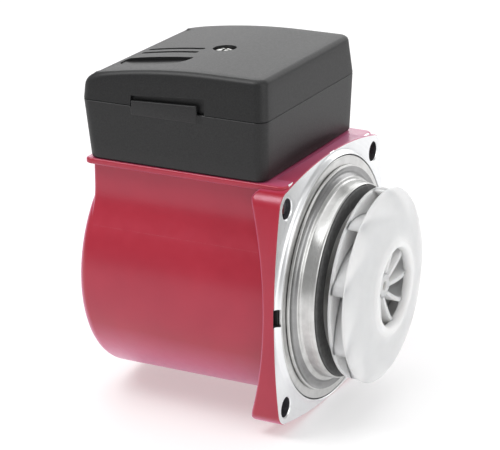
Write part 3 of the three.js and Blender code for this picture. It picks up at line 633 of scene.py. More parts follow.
def flange_outline(steps=14):
    """The flange's (y, z) outline: four bulged sides joined by arcs about the bolt holes."""
    overhang = FLANGE_HALF - BOLT_HALF_PITCH
    side_r = (overhang ** 2 + BOLT_HALF_PITCH ** 2 - CORNER_R ** 2) / (2 * (overhang - CORNER_R))
    sweep = math.atan2(BOLT_HALF_PITCH, side_r - overhang)
    points = []
    for side in range(4):
        turn = side * math.pi / 2
        centre = FLANGE_HALF - side_r
        for k in range(3 * steps):
            angle = turn + lerp(-sweep, sweep, k / (3 * steps))
            points.append((
                centre * math.cos(turn) + side_r * math.cos(angle),
                centre * math.sin(turn) + side_r * math.sin(angle),
            ))
        diagonal = turn + math.pi / 4
        reach = BOLT_HALF_PITCH * math.sqrt(2)
        for k in range(steps):
            angle = turn + lerp(sweep, math.pi / 2 - sweep, k / steps)
            points.append((
                reach * math.cos(diagonal) + CORNER_R * math.cos(angle),
                reach * math.sin(diagonal) + CORNER_R * math.sin(angle),
            ))
    return points


def back_of_flange(y, z):
    """x of the flange's back, which thickens along arcs towards the corners."""
    sag = min(BACK_ARC_R - math.sqrt(BACK_ARC_R ** 2 - t ** 2) for t in (y, z))
    return -FLANGE_THIN - sag


def flange_skin():
    """Closed skin of the flange: recess, raised lip, flat face, rim, and back with thicker corners."""
    outline = flange_outline()
    bore_r, edge_r, face_edge = 50.0, 1.4, 0.3

    def shrunk(amount):
        shares = [1 - amount / math.hypot(y, z) for y, z in outline]
        return [(y * share, z * share) for (y, z), share in zip(outline, shares)]

    def ringed(radius, margin=0.0):
        result = []
        for y, z in outline:
            reach = math.hypot(y, z)
            share = min(radius, reach - margin) / reach
            result.append((y * share, z * share))
        return result

    front = [(bore_r, -RECESS_DEPTH), (RECESS_R, -RECESS_DEPTH), (RECESS_R, LIP_TOP - 0.25)]
    lip = ((0.2, 0.0), (0.4, 0.0), (0.75, 0.35), (1.1, 0.95), (1.5, 1.5), (1.95, 1.85))
    front += [(RECESS_R + out, LIP_TOP - down) for out, down in lip]
    front.append((LIP_FOOT_R, 0.0))
    loops = [[(x, y, z) for y, z in ringed(radius, 0.45)] for radius, x in front]
    loops.append([(0.0, y, z) for y, z in shrunk(face_edge)])
    loops.append([(-0.25, y, z) for y, z in outline])
    for s, c in quarter(5):
        ring = []
        for (y, z), (y0, z0) in zip(shrunk(edge_r * c), outline):
            ring.append((back_of_flange(y0, z0) + edge_r * (1 - s), y, z))
        loops.append(ring)
    for t in (0.35, 0.7, 1.0):
        ring = []
        for (y, z), (yi, zi) in zip(shrunk(edge_r), ringed(bore_r)):
            yy, zz = lerp(y, yi, t), lerp(z, zi, t)
            ring.append((back_of_flange(yy, zz), yy, zz))
        loops.append(ring)
    return loft("flange", loops, closed_ends=False)


def flange():
    """The flange with its four flared bolt holes and two sloped drain notches."""
    past_back, past_face, past_rim, flare_depth = -25, 5, 65, 0.45
    flare = [
        (past_back, 0), (past_back, BOLT_HOLE_R), (-0.5, BOLT_HOLE_R), (0.0, BOLT_HOLE_R + flare_depth),
        (2, BOLT_HOLE_R + 2.5), (2, 0),
    ]
    cutters = []
    for y in (-BOLT_HALF_PITCH, BOLT_HALF_PITCH):
        for z in (-BOLT_HALF_PITCH, BOLT_HALF_PITCH):
            cutters.append(turned("hole", flare, (0, y, z), steps=SMALL_STEPS))
    for side in (-1, 1):
        near, rim_y, far = side * (RECESS_R - 1), side * FLANGE_HALF, side * past_rim
        floor_x = 0.05 - RECESS_DEPTH
        slope = [(past_face, near), (floor_x, near), (-0.2, rim_y), (-0.2, far), (past_face, far)]
        cutters.append(prism("notch", slope, -NOTCH_HALF_Z, NOTCH_HALF_Z))
    return cut(flange_skin(), cutters)


def barrel():
    """The motor's round body, with a rounded rear edge and a seat for the vent plug."""
    hole_r, seat_r = 8.0, 11.6
    rear_wall, seat_depth, seat_edge = 5.0, 2.4, 0.4
    profile = [
        (-1.0, BARREL_R), (-1.0, BORE_R),
        (BARREL_REAR + rear_wall, BORE_R), (BARREL_REAR + rear_wall, hole_r),
        (BARREL_REAR + seat_depth, hole_r), (BARREL_REAR + seat_depth, seat_r),
        (BARREL_REAR + seat_edge, seat_r), (BARREL_REAR, seat_r + seat_edge),
    ]
    for s, c in quarter(8):
        profile.append((BARREL_REAR + BARREL_EDGE_R * c, BARREL_R - BARREL_EDGE_R * (1 - s)))
    return turned("barrel", profile)


def neck():
    """The walls under the pad, which sweep out into the barrel."""
    foot = Vector((NECK_HALF_Y, NECK_FOOT_Z))
    blend = Vector((NECK_BLEND_Y, math.sqrt(BARREL_R ** 2 - NECK_BLEND_Y ** 2)))
    tangent = Vector((blend.y, -blend.x)).normalized()
    pull, steps, edge_r = 6.5, 16, 2.0
    handle_a = foot - Vector((0, pull))
    handle_b = blend - tangent * pull
    side = [(NECK_HALF_Y, PAD_LOW_Z + 1)]
    for k in range(steps + 1):
        t = k / steps
        a, b, c, d = (1 - t) ** 3, 3 * t * (1 - t) ** 2, 3 * t * t * (1 - t), t ** 3
        point = foot * a + handle_a * b + handle_b * c + blend * d
        side.append((point.x, point.y))
    side.append((blend.x - 3, blend.y - 3))
    outline = side + [(-y, z) for y, z in reversed(side)]
    loops = []
    for s, c in quarter(5):
        inset = edge_r * (1 - s)
        loops.append([(NECK_REAR_X + edge_r * c, y - math.copysign(inset, y), z) for y, z in outline])
    loops.append([(-3.0, y, z) for y, z in outline])
    return loft("neck", loops)


def pad():
    """The flat shelf that the terminal box stands on."""
    outline = fillet([
        (PAD_REAR_X, -PAD_HALF_Y, 3.0), (PAD_FRONT_X, -PAD_HALF_Y, 4.0),
        (PAD_FRONT_X, PAD_HALF_Y, 4.0), (PAD_REAR_X, PAD_HALF_Y, 3.0),
    ], 8)
    middle_x = (PAD_REAR_X + PAD_FRONT_X) / 2
    half_x = (PAD_FRONT_X - PAD_REAR_X) / 2

    def inset(amount):
        share_x, share_y = 1 - amount / half_x, 1 - amount / PAD_HALF_Y
        return [(middle_x + (x - middle_x) * share_x, y * share_y) for x, y in outline]

    edge = 0.7
    loops = []
    for s, c in quarter(4):
        loops.append([(x, y, PAD_LOW_Z + edge * c) for x, y in inset(edge * (1 - s))])
    for s, c in reversed(quarter(4)):
        loops.append([(x, y, PAD_HIGH_Z - edge * c) for x, y in inset(edge * (1 - s))])
    return loft("pad", loops)


def housing_look(x, y, z, normal):
    """0 for paint, 1 for the machined face and the recess, 2 for the painted shade in the bolt holes and
    drain notches.
    """
    radius = math.hypot(y, z)
    on_face = x > -RECESS_DEPTH - 0.2
    from_hole = math.hypot(abs(y) - BOLT_HALF_PITCH, abs(z) - BOLT_HALF_PITCH)
    in_hole = from_hole < BOLT_HOLE_R + 0.1 and -20 < x < -0.3 and abs(normal.x) < 0.3
    in_notch = abs(z) < NOTCH_HALF_Z + 0.02 and radius > RECESS_R + 0.02 and on_face
    faces_notch = abs(normal.z) > 0.9 or (normal.x > 0.35 and x < -0.1)
    slopes = from_hole < BOLT_HOLE_R + 0.8 or radius < LIP_FOOT_R + 0.3
    # Bolt hole walls and drain notch faces get the painted-shade material.
    if in_hole or (in_notch and faces_notch):
        return 2
    if on_face and radius < RECESS_R + 0.6:
        return 1
    return 1 if x > -0.3 and normal.x > (0.35 if slopes else 0.9) else 0


def base_screw_spots():
    return [(x, y) for x in BASE_SCREW_XS for y in (-BASE_SCREW_Y, BASE_SCREW_Y)]


def lead_hole(name, low_z, high_z, margin=0.0, radius=0.0):
    """A cutter for the opening that the motor's leads come up through, or for the seal round it."""
    rear, front = LEAD_HOLE_X
    half = LEAD_HOLE_HALF_Y + margin
    return block(name, (rear - margin, -half, low_z), (front + margin, half, high_z), radius)


def stator_housing():
    body = cut(barrel(), [lead_hole("lead_hole", 40, 60)])
    saddle = cut(neck(), [lead_hole("lead_hole", 40, 60), rod("bore", BORE_R, -120, 10, steps=ROUND_STEPS)])
    shelf = cut(pad(), [lead_hole("lead_hole", 40, 60)] + [
        rod("hole", SCREW_HOLE_R, 42.5, 60, (x, y, 0), "Z") for x, y in base_screw_spots()
    ])
    housing = join("motor_housing", [flange(), body, saddle, shelf])
    finish_by_place(housing, (LOOKS["red_paint"], machined_aluminium(), painted_shade_casting()), housing_look)
    finish_piece(housing, "red_paint", "stator_housing")


# ---------------- stepped steel spigot

TURNED = turned_steel()


def rotor_can():
    """The pressed can: a rim at the flange, a cup round the rotor and one round the rear bearing."""
    wall, rim_rear, shoulder_x = 0.6, 0.6, -79.5
    front, rear = CAN_HIGH[0], CAN_LOW[0]
    bore_r, cup_r, hole_r = 25.6, 9.9, 5.8
    profile = fillet([
        (rim_rear, bore_r + wall, 0.5), (rim_rear, CAN_HIGH[1], 0.3), (front, CAN_HIGH[1], 0.7),
        (front, bore_r, 0.6), (shoulder_x + wall, bore_r, 0.6), (shoulder_x + wall, cup_r, 0.4),
        (rear + wall, cup_r, 0.4), (rear + wall, hole_r, 0), (rear, hole_r, 0),
        (rear, cup_r + wall, 0.6), (shoulder_x, cup_r + wall, 0.5), (shoulder_x, bore_r + wall, 0.8),
    ], 4)
    can = turned("rotor_can_pressing", profile)
    can.data.materials.append(TURNED)
    finish_piece(can, "steel", "rotor_can")


def bearing_plate():
    """The turned plate: wide rim, groove darkened by painted shade, stepped neck, gasket seat and the front
    bearing's hub.
    """
    rear = CAN_HIGH[0] + 0.3
    groove_r, groove_front = PLATE_R - 0.8, rear + 3.3
    neck_r, seat_r, web_r = 43.5, 42.6, 34.7
    seat_x, web_front, web_rear, hollow_r = 9.6, 7.0, 4.5, 41.0
    hub_r, bore_r = 13.0, 9.9
    profile = fillet([
        (rear, hollow_r, 0), (rear, PLATE_R, 0.2), (rear + 1.25, PLATE_R, 0.35),
        (rear + 1.25, groove_r, 0.4), (rear + 0.6, PLATE_R - 2.2, 1.2), (rear + 1.1, PLATE_R - 3.8, 1.2),
        (rear + 2.8, PLATE_R - 4.9, 0.9), (groove_front, neck_r + 0.25, 0.9), (9.4, neck_r, 0.6),
        (11.3, neck_r - 0.2, 0.6), (12.0, seat_r, 0.5), (seat_x, seat_r, 0.1), (seat_x, web_r, 0.1),
        (web_front, web_r - 0.4, 0.3), (web_front, hub_r, 0.6),
        (PLATE_HIGH[0], hub_r, 0.5), (PLATE_HIGH[0], bore_r, 0.3), (PLATE_LOW[0], bore_r, 0.3),
        (PLATE_LOW[0], hub_r, 0.5), (web_rear, hub_r, 0.5), (web_rear, hollow_r, 0.4),
    ], 5)

    def in_groove(x, y, z, normal):
        return PLATE_R - 4.9 < math.hypot(y, z) < groove_r + 0.1 and rear < x < groove_front - 0.1

    plate = turned("bearing_plate_turned", profile)
    # The groove gets a darker steel as painted shade of the recess.
    finish_by_place(plate, (TURNED, turned_steel("painted_groove_shade_steel", (0.3, 0.3, 0.3))), in_groove)
    finish_piece(plate, "steel", "bearing_plate")


def ring_piece(name, node_name, inner_r, edge, slot, body="motor", axis="X"):
    """A ring with rounded edges, sized by a CAD node's box."""
    low, high = box_mm(node_name)
    index = "XYZ".index(axis)
    across = (index + 1) % 3
    start, end, outer_r = low[index], high[index], (high[across] - low[across]) / 2
    centre = [(a + b) / 2 for a, b in zip(low, high)]
    centre[index] = 0.0
    outline = [(start, inner_r), (start, outer_r), (end, outer_r), (end, inner_r)]
    profile = fillet([(along, radius, edge) for along, radius in outline], 4)
    steps = ROUND_STEPS if outer_r > 20 else SMALL_STEPS
    finish_piece(turned(name, profile, centre, axis, steps), slot, node_name, body)


# ---------------- impeller

SHROUD_INNER = [(24.6, 43.3), (25.4, 39.5), (26.2, 34), (26.7, 27), (26.9, 21), (27.1, EYE_R + 0.6)]


def shroud_inner_x(radius):
    """x of the front shroud's inner face at a radius."""
    points = SHROUD_INNER
    if radius >= points[0][1]:
        return points[0][0]
    for (x0, r0), (x1, r1) in zip(points, points[1:]):
        if radius >= r1:
            return lerp(x0, x1, (r0 - radius) / (r0 - r1))
    return points[-1][0]


def smooth_curve(points, steps):
    """A Catmull-Rom curve through the given points."""
    result = []
    for i in range(len(points) - 1):
        p0 = Vector(points[max(i - 1, 0)])
        p1 = Vector(points[i])
        p2 = Vector(points[i + 1])
        p3 = Vector(points[min(i + 2, len(points) - 1)])
        for k in range(steps):
            t = k / steps
            square = (2 * p0 - 5 * p1 + 4 * p2 - p3) * t ** 2
            cube = (3 * p1 - p0 - 3 * p2 + p3) * t ** 3
            result.append(tuple(0.5 * (2 * p1 + (p2 - p0) * t + square + cube)))
    result.append(tuple(points[-1]))
    return result


def front_shroud():
    """The domed front disc, with a rolled lip round the eye."""
    outer = [
        (EYE_LIP_X - 1.3, EYE_R), (EYE_LIP_X - 0.45, EYE_R + 0.45), (EYE_LIP_X, EYE_R + 1.6),
        (EYE_LIP_X - 0.35, EYE_R + 2.9), (EYE_LIP_X - 1.5, EYE_R + 4.5), (29.2, 24.6), (28.75, 27.5),
        (28.4, 32), (27.7, 37), (26.8, 40.6), (25.7, 42.6), (24.9, 43.25),
    ]
    profile = [(27.1, EYE_R + 0.5), (27.25, EYE_R + 0.1), (27.6, EYE_R)]
    profile += smooth_curve(outer, 5)
    profile += [(24.65, 43.2), (24.6, 42.9)]
    profile += smooth_curve(SHROUD_INNER[1:], 3)[:-1]
    return turned("impeller_front", profile, smooth_angle=50)


def vane_sweep(radius):
    """How fast a vane turns as it moves out: nearly radial in the eye, lying back further out."""
    in_eye, outside = 0.2, 1.96
    return min(max(lerp(in_eye, outside, (radius - 14.5) / 11.5), in_eye), outside)


def vane_line(tip_angle, steps):
    """The vane's centre line from rim to hub as (angle, radius) pairs."""
    root_r, tip_r = 4.9, REAR_HIGH[1] + 0.6
    substeps = 4
    angle = math.radians(tip_angle)
    radius = tip_r
    stride = (tip_r - root_r) / steps / substeps
    line = []
    for _ in range(steps + 1):
        line.append((angle, radius))
        for _ in range(substeps):
            angle -= vane_sweep(radius) * stride / radius
            radius -= stride
    return line


def vane_top(radius):
    """x of a vane's edge: into the shroud outside the eye, and a slope down to the hub inside it."""
    inside = lerp(25.6, 28.3, (radius - HUB_TOP_R) / (EYE_R - HUB_TOP_R))
    outside = shroud_inner_x(radius) + 0.35
    share = min(max((radius - EYE_R + 0.4) / 0.9, 0.0), 1.0)
    return lerp(inside, outside, share)


def vane(tip_angle):
    """One vane, standing on the rear disc, with a softened front edge."""
    half, root_x, edge, rim_r = 0.95, 18.6, 0.35, REAR_HIGH[1] - 0.05
    line = [Vector((r * math.cos(a), r * math.sin(a))) for a, r in vane_line(tip_angle, 40)]
    last = len(line) - 1
    left = []
    for i, point in enumerate(line):
        along = (line[min(i + 1, last)] - line[max(i - 1, 0)]).normalized()
        left.append((point, Vector((-along.y, along.x))))
    outline = left + [(point, -across) for point, across in reversed(left)]

    def ring(t, drop, inset):
        points = []
        for point, across in outline:
            spot = point + across * (half - inset)
            if spot.length > rim_r:
                spot = spot * (rim_r / spot.length)
            points.append((lerp(root_x, vane_top(spot.length) - drop, t), spot.x, spot.y))
        return points

    loops = [ring(0.0, 0.0, 0.0), ring(0.5, 0.0, 0.0)]
    loops += [ring(1.0, edge * (1 - s), edge * c) for s, c in quarter(3)]
    return loft("vane", loops, smooth_angle=40)


def rear_shroud():
    """The rear disc, which rises to a hub with a nose round the end of the shaft, and its vanes."""
    bore_r, nose_r, nose_x, seat_x = 4.3, 2.1, 26.0, 24.5
    profile = fillet([
        (REAR_LOW[0], bore_r, 0), (REAR_LOW[0], REAR_HIGH[1], 0.5), (19.2, REAR_HIGH[1], 0.5),
        (19.4, 16, 2), (20.8, 9.5, 3), (23.4, 6.4, 1.2), (25.4, HUB_TOP_R, 0.5),
        (nose_x, 4.9, 0.3), (nose_x, nose_r, 0.2), (seat_x, nose_r, 0), (seat_x, bore_r, 0),
    ], 5)
    vanes = [vane(VANE_TIP_ANGLE + 360 * i / VANES) for i in range(VANES)]
    return join("impeller_rear", [turned("impeller_rear", profile)] + vanes)


def impeller():
    finish_piece(front_shroud(), "white_plastic", "impeller_front_shroud", "rotor")
    finish_piece(rear_shroud(), "white_plastic", "impeller_rear_shroud", "rotor")


def shaft():
    """The hollow ceramic shaft."""
    rear, front, outer_r, bore_r = SHAFT_LOW[0], SHAFT_HIGH[0], SHAFT_HIGH[1], 1.6
    outline = [(rear, bore_r, 0), (rear, outer_r, 0.5), (front, outer_r, 0.5), (front, bore_r, 0.2)]
    profile = fillet(outline, 3)
    finish_piece(turned("hollow_shaft", profile, steps=SMALL_STEPS), "ceramic", "shaft", "rotor")


# ---------------- terminal box

LID_TOP = {"z": 99.0, "rear": -97.1, "front": -11.5, "half": 44.6}
LID_FOOT = {"z": LID_LOW[2], "rear": LID_LOW[0], "front": LID_HIGH[0], "half": LID_HIGH[1]}
BASE_TOP = {"z": SEAM_Z, "rear": LID_LOW[0], "front": LID_HIGH[0], "half": LID_HIGH[1]}
BASE_FOOT = {"z": BASE_LOW[2], "rear": -95.4, "front": -10.4, "half": 45.5}
CATCH = {"rear": -72.7, "front": -41.3, "top_z": 84.0, "tilt": 2.6}
CATCH_OUT_Y = 0.8 - BASE_LOW[1]  # aimed past the wall, so that the tongue leans out with it
CATCH_IN_Y = 45.75
CATCH_RECESS = {"rear": -73.1, "front": -37.8, "top_z": 86.6, "floor_y": 44.75, "tilt": 4.4}
POCKET_DEPTH = 1.2
SCREW_AXIS = (LID_SCREW_X, 0.0, 0.0)
GLAND_AXIS = ((GLAND_LOW[0] + GLAND_HIGH[0]) / 2, 0.0, (GLAND_LOW[2] + GLAND_HIGH[2]) / 2)


def level_at(foot, top, z):
    t = (z - foot["z"]) / (top["z"] - foot["z"])
    return {key: lerp(foot[key], top[key], t) for key in ("rear", "front", "half")}


def rim(level, inset=0.0):
    """Points round a rounded rectangle, the same number whatever its size."""
    rear, front, half = level["rear"] + inset, level["front"] - inset, level["half"] - inset
    r = max(BOX_CORNER_R - inset, 0.8)
    corners = [
        (front - r, half - r, 0), (rear + r, half - r, 90),
        (rear + r, r - half, 180), (front - r, r - half, 270),
    ]
    points = []
    for i, (cx, cy, turn) in enumerate(corners):
        for k in range(CORNER_STEPS + 1):
            angle = math.radians(turn + 90 * k / CORNER_STEPS)
            points.append((cx + r * math.cos(angle), cy + r * math.sin(angle)))
        nx, ny, turn = corners[(i + 1) % 4]
        angle = math.radians(turn)
        start = points[-1]
        end = (nx + r * math.cos(angle), ny + r * math.sin(angle))
        for k in range(1, SIDE_STEPS):
            points.append((lerp(start[0], end[0], k / SIDE_STEPS), lerp(start[1], end[1], k / SIDE_STEPS)))
    return points


def roof_z(x, lower=0.0):
    """Height of the lid's roof, which falls away to the rear."""
    arc_r = 300.0
    back = min(x + 34.5, 0.0)
    return LID_HIGH[2] - lower - arc_r + math.sqrt(arc_r ** 2 - back ** 2)


def roof_edge(x):
    """Radius of the lid's rounded top edge, larger along the rear."""
    return lerp(2.2, 5.0, min(max((-88.0 - x) / 8.0, 0.0), 1.0))


def lid_ring(heights, insets):
    """One ring round the lid, with its own height and inset at each point."""
    ring = []
    for i, (z, inset) in enumerate(zip(heights, insets)):
        x, y = rim(level_at(LID_FOOT, LID_TOP, z), inset)[i]
        ring.append((x, y, z))
    return ring


def lid_shell():
    """The lid as one skin: outside wall, rounded edge, roof, and the same again inside."""
    outline = rim(LID_FOOT)
    count = len(outline)
    edges = [roof_edge(x) for x, y in outline]

    def skin(wall, shares):
        tops = [roof_z(x, wall) - edge for (x, y), edge in zip(outline, edges)]
        loops = []
        for t in (0.0, 0.25, 0.5, 0.75, 1.0):
            loops.append(lid_ring([lerp(LID_FOOT["z"], top, t) for top in tops], [wall] * count))
        for s, c in quarter(6)[1:]:
            heights = [top + edge * s for top, edge in zip(tops, edges)]
            loops.append(lid_ring(heights, [wall + edge * c for edge in edges]))
        last = loops[-1]
        for share in shares:
            ring = []
            for x, y, z in last:
                px, py = lerp(x, SCREW_AXIS[0], share), lerp(y, SCREW_AXIS[1], share)
                ring.append((px, py, roof_z(px, wall)))
            loops.append(ring)
        return loops

    outside = skin(0.0, (0.1, 0.22, 0.36, 0.5, 0.64, 0.78, 0.9, 0.98))
    inside = skin(BOX_WALL, (0.25, 0.5, 0.75, 0.98))
    return loft("lid_shell", outside[::-1] + inside, smooth_angle=40)


def recess_cutter(outline, depth):
    """A cutter that sinks an outline into the roof by an even depth."""
    floor_loop = [(x, y, roof_z(x, depth)) for x, y in outline]
    above_loop = [(x, y, LID_HIGH[2] + 5) for x, y in outline]
    return loft("recess", [floor_loop, above_loop])


def above_tilt(shape):
    """A cutter over a catch or its recess, whose underside rises towards the front by the shape's tilt."""
    rear, front, top = shape["rear"] - 5, shape["front"] + 5, shape["top_z"]
    cutter = block("above", (rear, 1.3 * LID_LOW[1], top), (front, 0.6 * LID_LOW[1], top + 20))
    pivot = Matrix.Translation(Vector(((rear + front) / 2, 0, top)) * MM)
    cutter.data.transform(pivot @ Matrix.Rotation(math.radians(-shape["tilt"]), 4, "Y") @ pivot.inverted())
    return cutter


def catch_recess():
    """The recess in the lid's wall that makes room for the catch."""
    shape = CATCH_RECESS
    low = (shape["rear"], 1.2 * LID_LOW[1], SEAM_Z - 4)
    high = (shape["front"], -shape["floor_y"], shape["top_z"] + 4)
    return cut(block("recess", low, high), [above_tilt(shape)])


def box_catch():
    """The catch: a tongue that carries the base's wall up in front of the lid."""
    root_z, tip_z = SEAM_Z - 4, CATCH["top_z"] + 2
    tongue = [
        (0.1 - BASE_TOP["half"], root_z), (-CATCH_OUT_Y, tip_z),
        (-CATCH_IN_Y, tip_z), (-CATCH_IN_Y, root_z),
    ]
    catch = prism("catch", tongue, CATCH["rear"], CATCH["front"], "X")
    cut(catch, [above_tilt(CATCH)])
    return soften(catch, 0.6, 4, 50)


def arc(centre, radius, start, end, steps):
    """(x, y) points along an arc, from one angle in degrees to another."""
    angles = [math.radians(lerp(start, end, k / steps)) for k in range(steps + 1)]
    return [(centre[0] + radius * math.cos(a), centre[1] + radius * math.sin(a)) for a in angles]


def lid_marks():
    """Cutters for the sunk marks in the roof: a half moon and two straight grooves with round ends."""
    rear, front, groove_r = -88, -60, 1.3
    moon = arc((-74, -19), 17, 180, 360, 32)
    tips = (moon[0], moon[-1])
    outlines = [fillet([(*point, 0.8 if point in tips else 0) for point in moon], 4)]
    for y in (-9.5, -3.0):
        front_end = arc((front - groove_r, y), groove_r, -90, 90, 16)
        rear_end = arc((rear + groove_r, y), groove_r, 90, 270, 16)
        outlines.append(front_end + rear_end)
    return [recess_cutter(outline, POCKET_DEPTH) for outline in outlines]


def terminal_box_lid():
    """The lid, with the screw's round pocket in its roof and a boss under the pocket."""
    boss_low, pocket_floor, boss_high, above = 91, 93.6, 96, 104
    lid = cut(lid_shell(), [catch_recess()])
    unite(lid, [rod("boss", 7.5, boss_low, boss_high, SCREW_AXIS, "Z", SMALL_STEPS)])
    cut(lid, lid_marks() + [
        rod("pocket", 5.3, pocket_floor, above, SCREW_AXIS, "Z", SMALL_STEPS),
        rod("bore", 2.3, 80, above, SCREW_AXIS, "Z"),
    ])
    finish_piece(lid, "black_plastic", "terminal_box_lid", "lid")


def box_base_shell():
    """The base as one skin: outside wall, rim and inside wall."""
    foot, top = BASE_FOOT["z"], BASE_TOP["z"]
    floor_z, edge, floor_edge = 58.0, 0.8, 0.6
    levels = [(foot + edge * c, edge * (1 - s)) for s, c in quarter(3)]
    levels += [(z, 0.0) for z in (62.0, 70.0, 77.0, top - 0.3)]
    levels += [(top, 0.3), (top, BOX_WALL - 0.2), (top - 0.2, BOX_WALL)]
    levels += [(z, BOX_WALL) for z in (70.0, 60.0, floor_z + floor_edge)]
    levels.append((floor_z, BOX_WALL + floor_edge))
    loops = []
    for z, inset in levels:
        loops.append([(x, y, z) for x, y in rim(level_at(BASE_FOOT, BASE_TOP, z), inset)])
    return loft("box_base", loops)


def terminal_box_base():
    """The base, with its gland hole, lead opening, screw holes, threaded pillar and catch."""
    below, above, pillar_r = 50, 60, 5.0
    shell = cut(box_base_shell(), [rod("gland_hole", 8.3, 40, 50, GLAND_AXIS, "Y", ROUND_STEPS)])
    cut(shell, [lead_hole("lead_hole", below, above, radius=2.0)])
    cut(shell, [lead_hole("seal_seat", below, 56, margin=3.0, radius=1.0)])
    spots = base_screw_spots() + [EARTH_SCREW]
    cut(shell, [rod("hole", SCREW_HOLE_R, below, above, (x, y, 0), "Z") for x, y in spots])
    top = BASE_HIGH[2]
    outline = [(57, 0), (57, pillar_r), (top - 0.3, pillar_r), (top, pillar_r - 0.3), (top, 0)]
    pillar = turned("pillar", outline, SCREW_AXIS, "Z", SMALL_STEPS)
    cut(pillar, [rod("bore", 2.0, 70, 95, SCREW_AXIS, "Z")])
    unite(shell, [pillar, box_catch()])
    finish_piece(shell, "black_plastic", "terminal_box_base")


# ---------------- screws, plug and gland

def screw(name, node_name, slot, head_height, shank_r, body="motor", crossed=False):
    """A screw sized by its CAD node's box, with a domed, crossed head or a flat, slotted one."""
    low, high = box_mm(node_name)
    x, y = (low[0] + high[0]) / 2, (low[1] + high[1]) / 2
    head_r, top = (high[0] - low[0]) / 2, high[2]
    if crossed:
        tip_r, tip_length = shank_r * 0.7, 1.2
        crown = [(top - head_height * 0.45, head_r, 0.8), (top, head_r * 0.55, 1.2)]
        slots = [(head_r * 0.58, 0.55, 1.3), (0.55, head_r * 0.58, 1.3)]
    else:
        tip_r, tip_length = shank_r * 0.8, 1.0
        crown = [(top, head_r, 0.7)]
        slots = [(head_r + 1, 0.4, 0.9)]
    profile = fillet([
        (low[2], 0, 0), (low[2], tip_r, 0.2), (low[2] + tip_length, shank_r, 0.2),
        (top - head_height, shank_r, 0.1), (top - head_height, head_r, 0.3), *crown, (top, 0, 0),
    ], 4)
    piece = turned(name, profile, (x, y, 0), "Z", SCREW_STEPS)
    cut(piece, [block("slot", (x - a, y - b, top - deep), (x + a, y + b, top + 1)) for a, b, deep in slots])
    finish_piece(piece, slot, node_name, body)


def vent_plug():
    """The slotted plug at the rear: a broad head, a thread and a thinner end."""
    rear, front, head_r = PLUG_LOW[0], PLUG_HIGH[0], PLUG_HIGH[1]
    head_front, thread_front, thread_r, end_r = -97.4, -93.5, 7.7, 5.4
    slot_half, slot_depth = 0.9, 1.3
    profile = fillet([
        (rear, 0, 0), (rear, head_r - 0.8, 0.6), (rear + 0.8, head_r, 0.5), (head_front, head_r, 0.4),
        (head_front, thread_r, 0.2), (thread_front, thread_r, 0.4), (thread_front + 0.5, end_r, 0.2),
        (front, end_r, 0.5), (front, 0, 0),
    ], 4)
    plug = turned("vent_plug_turned", profile, steps=96)
    past = head_r + 1
    cut(plug, [block("slot", (rear - 1, -past, -slot_half), (rear + slot_depth, past, slot_half))])
    soften(plug, 0.15, 1, 50)
    finish_piece(plug, "steel", "vent_plug", "vent_plug")


def hex_part(name, node_name, low_y, high_y, edge):
    """A hexagon about the gland's axis, as wide as a CAD node's box."""
    low, high = box_mm(node_name)
    corners = arc((GLAND_AXIS[2], GLAND_AXIS[0]), (high[0] - low[0]) / 2, 90, 390, 5)
    return soften(prism(name, corners, low_y, high_y, "Y"), edge)


def gland():
    """The cable gland: threaded body, nut, locknut inside the box and a blanking insert."""
    lock_low, lock_high = [corner[1] for corner in box_mm("cable_gland_locknut")]
    insert_low, insert_high = [corner[1] for corner in box_mm("cable_gland_insert")]
    body_low, body_high = [corner[1] for corner in box_mm("cable_gland_body")]
    thread_r, mouth_r = 8.0, 5.4

    def stub(name, radius, low, high):
        outline = [(low, 0, 0), (low, radius, 0.3), (high, radius, 0.3), (high, 0, 0)]
        return turned(name, fillet(outline, 3), GLAND_AXIS, "Y", SCREW_STEPS)

    body = hex_part("gland_body", "cable_gland_body", 47.2, 49.6, 0.4)
    unite(body, [stub("root", thread_r, body_low, 47.8), stub("neck", 7.4, 49.0, body_high)])
    cut(body, [stub("bore", mouth_r, 30, 60)])
    finish_piece(body, "black_plastic", "cable_gland_body")
    nut = hex_part("gland_nut", "cable_gland_nut", GLAND_LOW[1], 56.0, 0.5)
    unite(nut, [stub("dome", 8.2, 55.0, GLAND_HIGH[1])])
    cut(nut, [stub("thread", 7.7, 45, 54.8), stub("mouth", mouth_r, 45, 65)])
    finish_piece(nut, "black_plastic", "cable_gland_nut", "gland_nut")
    lock = hex_part("gland_locknut", "cable_gland_locknut", lock_low, lock_high, 0.4)
    cut(lock, [stub("bore", thread_r + 0.3, 30, 50)])
    finish_piece(lock, "black_plastic", "cable_gland_locknut")
    insert = stub("gland_blank", 5.1, insert_low, insert_high)
    finish_piece(insert, "rubber", "cable_gland_insert")


# ---------------- inside the terminal box

def capacitor():
    low, high = box_mm("capacitor")
    front, r = high[0], (high[1] - low[1]) / 2
    axis = (0, (low[1] + high[1]) / 2, (low[2] + high[2]) / 2)
    profile = fillet([
        (low[0], 0, 0), (low[0], r, 1.2), (front - 2.5, r, 0.6), (front - 1.8, r - 0.8, 0.3),
        (front - 0.9, r - 0.8, 0.3), (front, r - 1.6, 0.5), (front, 0, 0),
    ], 4)
    can = turned("capacitor_can", profile, axis, steps=BAND_STEPS)
    finish_piece(can, "capacitor_shell", "capacitor")
    capacitor_clip(axis)


def capacitor_clip(axis):
    """A sheet band round the capacitor, with a foot on the floor of the box."""
    low, high = box_mm("capacitor_clip")
    rear, front, outer_r = low[0], high[0], (high[1] - low[1]) / 2
    inner_r, foot_half, foot_height = outer_r - 1, 5, 3
    outline = [(rear, inner_r, 0), (rear, outer_r, 0.3), (front, outer_r, 0.3), (front, inner_r, 0)]
    band = turned("band", fillet(outline, 3), axis, steps=BAND_STEPS)
    foot_low = (rear, axis[1] - foot_half, low[2])
    foot_high = (front, axis[1] + foot_half, low[2] + foot_height)
    unite(band, [block("foot", foot_low, foot_high)])
    cut(band, [rod("bore", inner_r, -80, -60, axis, "X", BAND_STEPS)])
    finish_piece(band, "steel", "capacitor_clip")


